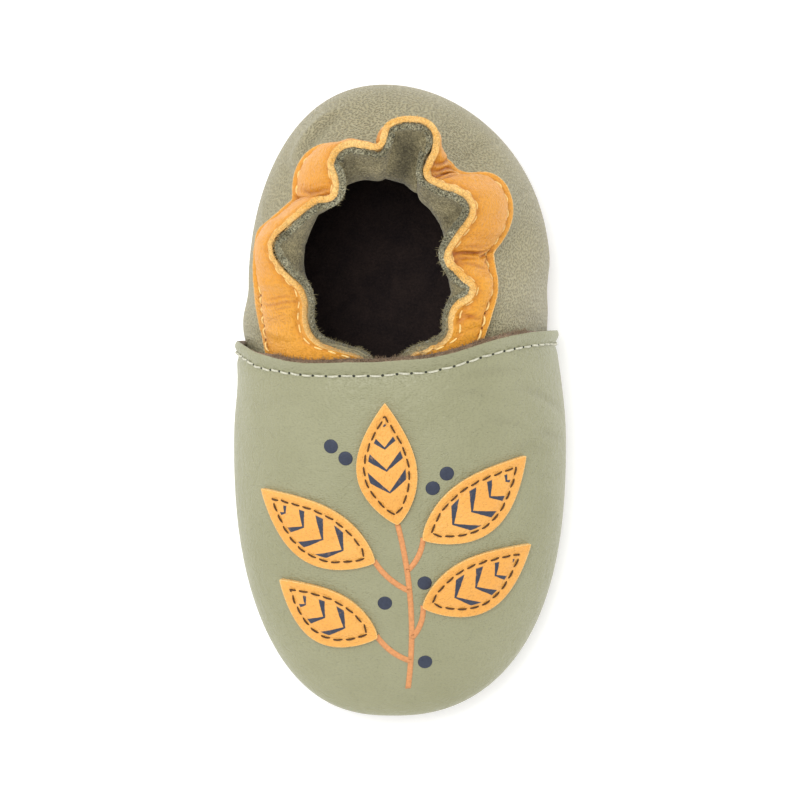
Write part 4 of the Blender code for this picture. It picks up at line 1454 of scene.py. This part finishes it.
def ink_and_hole_shade(name, tone):
    """Screen-printed ink on leather: a thin matt film, worn to a lighter tone on the grain's high spots; on
    the needle holes the same film paints their shade.
    """
    material, tree, shader, place = start_material(name)
    wear = noise(tree, place, size=0.5, detail=4.0)
    put(tree, shader, {
        "Base Color": scaled(tree, tone[:3], span(tree, wear, 0.88, 1.2, start=0.3, end=0.75)),
        "Normal": bumps(tree, wear, strength=0.5, depth=0.05),
        "Roughness": 0.55,
        "Specular IOR Level": 0.35,
    })
    return material


def printed_leaf_leather(colours):
    """The leaves' orange leather with navy veins printed on it, which follow the midrib's own map."""
    cut = linear(colours.cut)
    material = grain_leather("Orange leaf leather", tones(colours, "leaf"), LEAF_GRAIN, cut=cut)
    tree = material.node_tree
    shader = tree.nodes["Principled BSDF"]
    plain = shader.inputs["Base Color"].links[0].from_socket
    midrib = add(tree, "ShaderNodeSeparateXYZ", {0: add(tree, "ShaderNodeUVMap", uv_map="hide").outputs[0]})
    place = add(tree, "ShaderNodeTexCoord").outputs["Object"]
    rough = noise(tree, place, size=1.2, detail=3.0)
    aside = reckon(tree, "ABSOLUTE", midrib.outputs["Y"])
    back = reckon(tree, "MULTIPLY_ADD", aside, -VEIN_SLANT, midrib.outputs["X"])
    part = reckon(tree, "FRACT", reckon(tree, "MULTIPLY", back, 1 / VEIN_PITCH))
    off = reckon(tree, "ABSOLUTE", reckon(tree, "SUBTRACT", part, 0.5))
    # Each stroke widens away from the midrib, to about 1.5 mm, with a wavering edge
    wide = reckon(tree, "MULTIPLY_ADD", aside, 0.22, 0.22)
    wide = reckon(tree, "MULTIPLY_ADD", span(tree, rough, -0.35, 0.35), 0.35, wide)
    inside = reckon(tree, "SUBTRACT", wide, reckon(tree, "MULTIPLY", off, VEIN_PITCH))
    stroke = span(tree, inside, 0.0, 1.0, start=-0.06, end=0.06)
    within_seam = span(tree, carried(tree, "margin"), 0.0, 1.0, start=2.2, end=2.35)
    veined = reckon(tree, "MULTIPLY", stroke, within_seam)
    inked = reckon(tree, "MULTIPLY", veined, span(tree, rough, 0.8, 1.0, start=0.25, end=0.4))
    put(tree, shader, {"Base Color": blend(tree, inked, plain, linear(colours.navy))})
    return material


class SLIPPER_OT_stage(bpy.types.Operator):
    """Sets the pale floor, the soft light and the camera straight above the shoe"""

    bl_idname = "slipper.stage"
    bl_label = "Stage"

    def execute(self, context):
        stage = context.scene.slipper_stage
        shape = bmesh.new()
        bmesh.ops.create_grid(shape, x_segments=4, y_segments=4, size=FLOOR_HALF)
        mesh = bpy.data.meshes.new("floor")
        shape.to_mesh(mesh)
        shape.free()
        # Matt card: hardly any grain, no gloss, and a glow of its own, a painted light that lightens the
        # shadows on it
        material, tree, shader, place = start_material("Pale card")
        fleck = span(tree, noise(tree, place, size=3.0, detail=3.0), 0.985, 1.0)
        put(tree, shader, {
            "Base Color": scaled(tree, linear(stage.floor)[:3], fleck),
            "Roughness": 0.9,
            "Specular IOR Level": 0.1,
            "Emission Color": WHITE,
            "Emission Strength": CARD_GLOW,
        })
        mesh_piece("floor", mesh, material)

        world = bpy.data.worlds.new("Soft room")
        world.use_nodes = True
        context.scene.world = world
        # White walls all round, and a dimmer ceiling
        tree = world.node_tree
        way = add(tree, "ShaderNodeSeparateXYZ", {0: add(tree, "ShaderNodeTexCoord").outputs["Generated"]})
        wall = span(tree, way.outputs["Z"], WALL_LIGHT * stage.sky, CEILING_LIGHT * stage.sky)
        put(tree, tree.nodes["Background"], {"Color": WHITE, "Strength": wall})

        lamp = bpy.data.lights.new("Key light", "AREA")
        lamp.shape = "DISK"
        lamp.size = LAMP_SIZE
        lamp.energy = stage.key
        holder = bpy.data.objects.new("Key light", lamp)
        holder.location = LAMP_PLACE
        holder.rotation_euler = (-Vector(LAMP_PLACE)).to_track_quat("-Z", "Y").to_euler()
        holder.visible_camera = False
        context.collection.objects.link(holder)

        camera = bpy.data.cameras.new("Camera")
        camera.lens = camera.sensor_width * (stage.distance - BULGE_HEIGHT * MM) / stage.field
        camera.clip_end = FAR_CLIP
        eye = bpy.data.objects.new("Camera", camera)
        eye.location = (0.0, 0.0, stage.distance)
        context.collection.objects.link(eye)
        context.scene.camera = eye
        context.scene.view_settings.view_transform = "Standard"
        return {"FINISHED"}


class SLIPPER_OT_soles(bpy.types.Operator):
    """Adds the suede outsole and the dark insole"""

    bl_idname = "slipper.soles"
    bl_label = "Soles"

    @staticmethod
    def foot_points(inset, height):
        """Grid of the shoe's outline set in from it, that follows the toe spring."""
        along, side = shares(SOLE_GRID)
        y = lerp(TOE_TIP, HEEL_TIP, (1.0 - np.cos(along * math.pi)) / 2)
        x = centre_line(y) + (1.0 - 2.0 * side) * half_width(y)
        plan = (x * (1.0 - inset / (BALL_WIDTH / 2)), y * (1.0 - inset / HEEL_TIP))
        return np.stack((*plan, height + spring(y)), axis=-1)

    def execute(self, context):
        colours = context.scene.slipper_colours
        suede = nap_leather("Taupe sole suede", tones(colours, "sole"), SOLE_NAP)
        felt = nap_leather("Dark brushed lining", tones(colours, "insole"), INSOLE_NAP)
        points = self.foot_points(SOLE_INSET, SOLE_THICKNESS)
        outsole = leather_sheet("outsole_suede", points, [suede], SOLE_THICKNESS * MM)
        link(outsole, "taupe_suede", "outsole")
        points = self.foot_points(INSOLE_INSET, SOLE_THICKNESS + GAP + INSOLE_THICKNESS)
        insole = leather_sheet("insole_lining", points, [felt], INSOLE_THICKNESS * MM)
        link(insole, "dark_lining", "insole")
        return {"FINISHED"}


class SLIPPER_OT_upper(bpy.types.Operator):
    """Adds the vamp and the heel quarter"""

    bl_idname = "slipper.upper"
    bl_label = "Upper"

    @staticmethod
    def painted_shade(points, creases, most):
        """Share of painted shade in the troughs of the creases."""
        return np.clip(-crease_relief(points[..., 0], points[..., 1], creases) * CREASE_SHADE, 0.0, most)

    def execute(self, context):
        sizes = context.scene.slipper_sizes
        colours = context.scene.slipper_colours
        # Colour of the painted shade in the creases of the vamp and the quarter
        fold = linear(colours.sage_crease_shade)
        smooth = grain_leather("Sage vamp leather", tones(colours, "sage"), VAMP_GRAIN, fold=fold)
        pebbled = grain_leather("Sage pebbled leather", tones(colours, "heel"), HEEL_GRAIN, fold=fold)
        lining = nap_leather("Sage suede lining", tones(colours, "lining"), LINING_NAP, painted_lining_shade=True)
        fleece = nap_leather("Sage cut edge", tones(colours, "fleece"), FLEECE_NAP)
        raw = nap_leather("Taupe raw edge", tones(colours, "raw"), RAW_NAP)
        points = vamp_points(sizes)
        painted_shade = self.painted_shade(points, VAMP_CREASES, VAMP_SHADE_MOST)
        vamp = leather_sheet("vamp", points, [smooth, lining, raw], sizes.leather,
                             {"painted_shade": painted_shade, "painted_lining_shade": np.zeros_like(painted_shade)}, vamp_map(points))
        link(vamp, "sage_leather", "upper")
        points = quarter_points(sizes)
        # Painted shade where the lining's wall lies deep in the heel's lobes
        painted_lining_shade = np.clip(crease_relief(points[..., 0], points[..., 1], LINING_SHADES), 0.0, 1.0)
        painted_shade = self.painted_shade(points, QUARTER_CREASES, QUARTER_SHADE_MOST)
        quarter = rolled_sheet("quarter", points, [pebbled, lining, fleece], sizes.leather, QUARTER_SEED,
                               {"painted_lining_shade": painted_lining_shade, "painted_shade": painted_shade})
        link(quarter, "sage_leather", "upper")
        return {"FINISHED"}


class SLIPPER_OT_cuff(bpy.types.Operator):
    """Adds the gathered orange cuff round the collar"""

    bl_idname = "slipper.cuff"
    bl_label = "Cuff"

    def execute(self, context):
        sizes = context.scene.slipper_sizes
        colours = context.scene.slipper_colours
        # The fold colour is the painted shade in the cuff's pleats and seam dents
        grain = grain_leather("Orange cuff leather", tones(colours, "orange"), CUFF_GRAIN,
                              fold=linear(colours.orange_crease_shade), cut=linear(colours.cut))
        cut = nap_leather("Orange cut edge", tones(colours, "cut"), CUT_NAP)
        cuff = Cuff(sizes)
        thickness = sizes.cuff_leather * cuff.thickness
        piece = rolled_sheet("cuff", cuff.points, [grain, cut, cut], thickness, CUFF_SEED,
                             {"painted_shade": cuff.painted_shade, "margin": cuff.margin})
        link(piece, "orange_leather", "collar_cuff")
        return {"FINISHED"}


class SLIPPER_OT_leaves(bpy.types.Operator):
    """Adds the leather leaves and the printed stem and berries that join them"""

    bl_idname = "slipper.leaves"
    bl_label = "Leaves"

    def execute(self, context):
        sizes = context.scene.slipper_sizes
        colours = context.scene.slipper_colours
        lip = sizes.lip / MM
        printed = printed_leaf_leather(colours)
        cut = nap_leather("Leaf cut edge", tones(colours, "cut"), CUT_NAP)
        along, side = shares(LEAF_GRID)
        along = (1.0 - np.cos(along * math.pi)) / 2
        for leaf in LEAVES:
            plan, down, aside = leaf_plan(leaf, along, side)
            margin = from_outline(plan, leaf_outline(leaf))
            face, normal = vamp_top(plan[..., 0], plan[..., 1], lip)
            points = face + normal * leaf_height(margin, sizes.leaf_leather / MM)[..., None]
            piece = leather_sheet(leaf.name + "_leather", points, [printed, cut, cut], sizes.leaf_leather,
                                  {"margin": margin}, np.stack((down, aside), axis=-1))
            link(piece, "leaf_leather", leaf.name)

        ink = ink_and_hole_shade("Stem ink", linear(colours.stem))
        along, side = shares(SHOOT_GRID)
        for shoot in SHOOTS:
            start = np.array((shoot.x0, shoot.y0))
            reach = np.array((shoot.x1, shoot.y1)) - start
            across = np.array((-reach[1], reach[0])) / np.linalg.norm(reach)
            aside = shoot.bow * 4 * along * (1.0 - along) + (side - 0.5) * SHOOT_WIDTH
            plan = start + reach * along[..., None] + across * aside[..., None]
            face, normal = vamp_top(plan[..., 0], plan[..., 1], lip)
            piece = leather_sheet(shoot.name, face + normal * INK_TOP, [ink], INK_THICKNESS * MM, bevel=0)
            link(piece, "leaf_leather")

        places = [vamp_top(np.array(x), np.array(y), lip) for x, y in BERRIES]
        ink = ink_and_hole_shade("Berry ink", linear(colours.navy))
        link(dots("berries", places, BERRY_DOT, ink), "leaf_leather")
        return {"FINISHED"}


class SLIPPER_OT_stitching(bpy.types.Operator):
    """Sews the vamp, the cuff and the leaves, with dark dots of painted shade for the needle holes between
    the stitches
    """

    bl_idname = "slipper.stitching"
    bl_label = "Stitching"

    @staticmethod
    def cuff_seams(sizes):
        """Stitches and needle holes of the cuff's two seams; the rim's are pulled deeper into the leather."""
        cuff = Cuff(sizes)
        rim = cuff.height[:, 0] - CUFF_SEAM
        threads = []
        holes = []
        for level, lift, sunk in ((CUFF_SEAM, FOOT_LIFT, FOOT_SUNK), (rim, RIM_LIFT, RIM_SUNK)):
            normals = line_at(cuff.normals, cuff.up, level)
            line = line_at(cuff.points, cuff.up, level) - sunk * normals
            shown = behind_edge(line) > SEAM_SHOWN
            sewn, pricks = sew(line[shown], normals[shown], sizes.cuff_pitch / MM, CUFF_STITCH,
                               sizes.thread / MM * lift)
            threads += sewn
            holes += pricks
        return threads, holes

    @staticmethod
    def leaf_seam(leaf, sizes):
        """Stitches round a leaf, inside its edge."""
        outline = leaf_outline(leaf)
        ahead = unit(np.gradient(outline, axis=0))
        inner = outline + LEAF_SEAM * np.stack((-ahead[:, 1], ahead[:, 0]), axis=1)
        inner = inner[from_outline(inner, outline) > LEAF_SEAM * LEAF_SEAM_KEPT]
        inner = np.concatenate((inner, inner[:1]))
        face, normals = vamp_top(inner[:, 0], inner[:, 1], sizes.lip / MM)
        height = leaf_height(np.full(len(inner), LEAF_SEAM), sizes.leaf_leather / MM)
        line = face + normals * height[:, None]
        return sew(line, normals, sizes.leaf_pitch / MM, LEAF_STITCH, sizes.thread / MM * LEAF_THREAD)[0]

    @staticmethod
    def add_thread(name, lines, thickness, material, slot):
        """Adds the stitches of a seam, full in the middle and pulled thin where they enter the leather."""
        radii = 1.0 - STITCH_THIN * np.linspace(-1.0, 1.0, STITCH_POINTS) ** 4
        link(strands(name, lines, radii, thickness, material, THREAD_ROUND), slot)

    def execute(self, context):
        sizes = context.scene.slipper_sizes
        colours = context.scene.slipper_colours
        line, normals = vamp_seam(vamp_points(sizes))
        cream, cream_holes = sew(line, normals, sizes.vamp_pitch / MM, VAMP_STITCH, sizes.thread / MM)
        gold, gold_holes = self.cuff_seams(sizes)
        brown = [thread for leaf in LEAVES for thread in self.leaf_seam(leaf, sizes)]
        thread = spun_thread("Cream thread", linear(colours.sage_thread))
        self.add_thread("vamp_stitches", cream, sizes.thread, thread, "sage_leather")
        thread = spun_thread("Golden thread", linear(colours.gold_thread))
        self.add_thread("cuff_stitches", gold, sizes.thread * CUFF_THREAD, thread, "orange_leather")
        # Dark dots that paint the shade in the cuff's needle holes
        ink = ink_and_hole_shade("Cuff needle hole", linear(colours.orange_hole))
        link(dots("cuff_needle_holes", gold_holes, CUFF_HOLE, ink), "orange_leather")
        thread = spun_thread("Brown thread", linear(colours.brown_thread))
        self.add_thread("leaf_stitches", brown, sizes.thread * LEAF_THREAD, thread, "leaf_leather")
        # Dark dots that paint the shade in the vamp's needle holes
        ink = ink_and_hole_shade("Needle hole", linear(colours.hole))
        link(dots("needle_holes", cream_holes, VAMP_HOLE, ink), "sage_leather")
        return {"FINISHED"}


class SLIPPER_OT_fibres(bpy.types.Operator):
    """Adds the loose fibres along the cut edges of the vamp, the lining and the cuff"""

    bl_idname = "slipper.fibres"
    bl_label = "Fibres"

    def execute(self, context):
        sizes = context.scene.slipper_sizes
        colours = context.scene.slipper_colours
        reach = sizes.fibre / MM
        leather = sizes.leather / MM
        vamp = vamp_points(sizes)
        normals = grid_normals(vamp)
        edge = np.concatenate((vamp[0], vamp[-1][::-1][1:]))
        edge_normals = np.concatenate((normals[0], normals[-1][::-1][1:]))
        outward = np.concatenate((vamp[0] - vamp[1], (vamp[-1] - vamp[-2])[::-1][1:]))
        top = np.abs(edge[:, 0]) < FUZZ_REACH
        taupe = fuzz(edge[top], outward[top], edge_normals[top], leather, reach, VAMP_FUZZ)
        quarter = quarter_points(sizes)
        normals = grid_normals(quarter)
        rim = quarter[:, -1]
        grey = fuzz(rim, rim - quarter[:, -2], normals[:, -1], leather, reach, LINING_FUZZ)
        cuff = Cuff(sizes)
        leather = sizes.cuff_leather / MM
        yellow = []
        for row, beside, kind in ((-1, -2, RIM_FUZZ), (0, 1, FOOT_FUZZ)):
            ends = cuff.points[:, row]
            yellow += fuzz(ends, ends - cuff.points[:, beside], cuff.normals[:, row], leather, reach, kind)
        kinds = (
            ("vamp_fibres", taupe, "Taupe fibre", colours.raw, "sage_leather"),
            ("lining_fibres", grey, "Sage fibre", colours.lining, "sage_leather"),
            ("cuff_fibres", yellow, "Orange fibre", colours.cut, "orange_leather"),
        )
        for name, lines, finish, tone, slot in kinds:
            link(strands(name, lines, FIBRE_RADII, FIBRE * MM, spun_thread(finish, linear(tone))), slot)
        return {"FINISHED"}


class SLIPPER_PT_pieces(bpy.types.Panel):
    """Lists the steps that make the slipper, with the sizes and colours that they use"""

    bl_idname = "SLIPPER_PT_pieces"
    bl_label = "Baby slipper"
    bl_space_type = "VIEW_3D"
    bl_region_type = "UI"
    bl_category = "Slipper"

    def draw(self, context):
        for step in STEPS:
            self.layout.operator(step.bl_idname)
        for group in ("slipper_sizes", "slipper_colours", "slipper_stage"):
            box = self.layout.box()
            values = getattr(context.scene, group)
            for name in values.bl_rna.properties.keys():
                if name not in ("rna_type", "name"):
                    box.prop(values, name)


GROUPS = {"slipper_sizes": SlipperSizes, "slipper_colours": SlipperColours, "slipper_stage": SlipperStage}
STEPS = (
    SLIPPER_OT_stage,
    SLIPPER_OT_soles,
    SLIPPER_OT_upper,
    SLIPPER_OT_cuff,
    SLIPPER_OT_leaves,
    SLIPPER_OT_stitching,
    SLIPPER_OT_fibres,
)


def register():
    for kind in (*GROUPS.values(), *STEPS, SLIPPER_PT_pieces):
        bpy.utils.register_class(kind)
    for name, kind in GROUPS.items():
        setattr(bpy.types.Scene, name, bpy.props.PointerProperty(type=kind))


def unregister():
    for name in GROUPS:
        delattr(bpy.types.Scene, name)
    for kind in reversed((*GROUPS.values(), *STEPS, SLIPPER_PT_pieces)):
        bpy.utils.unregister_class(kind)


def main():
    register()
    bpy.ops.slipper.stage()
    bpy.ops.slipper.soles()
    bpy.ops.slipper.upper()
    bpy.ops.slipper.cuff()
    bpy.ops.slipper.leaves()
    bpy.ops.slipper.stitching()
    bpy.ops.slipper.fibres()


if __name__ == "__main__":
    main()
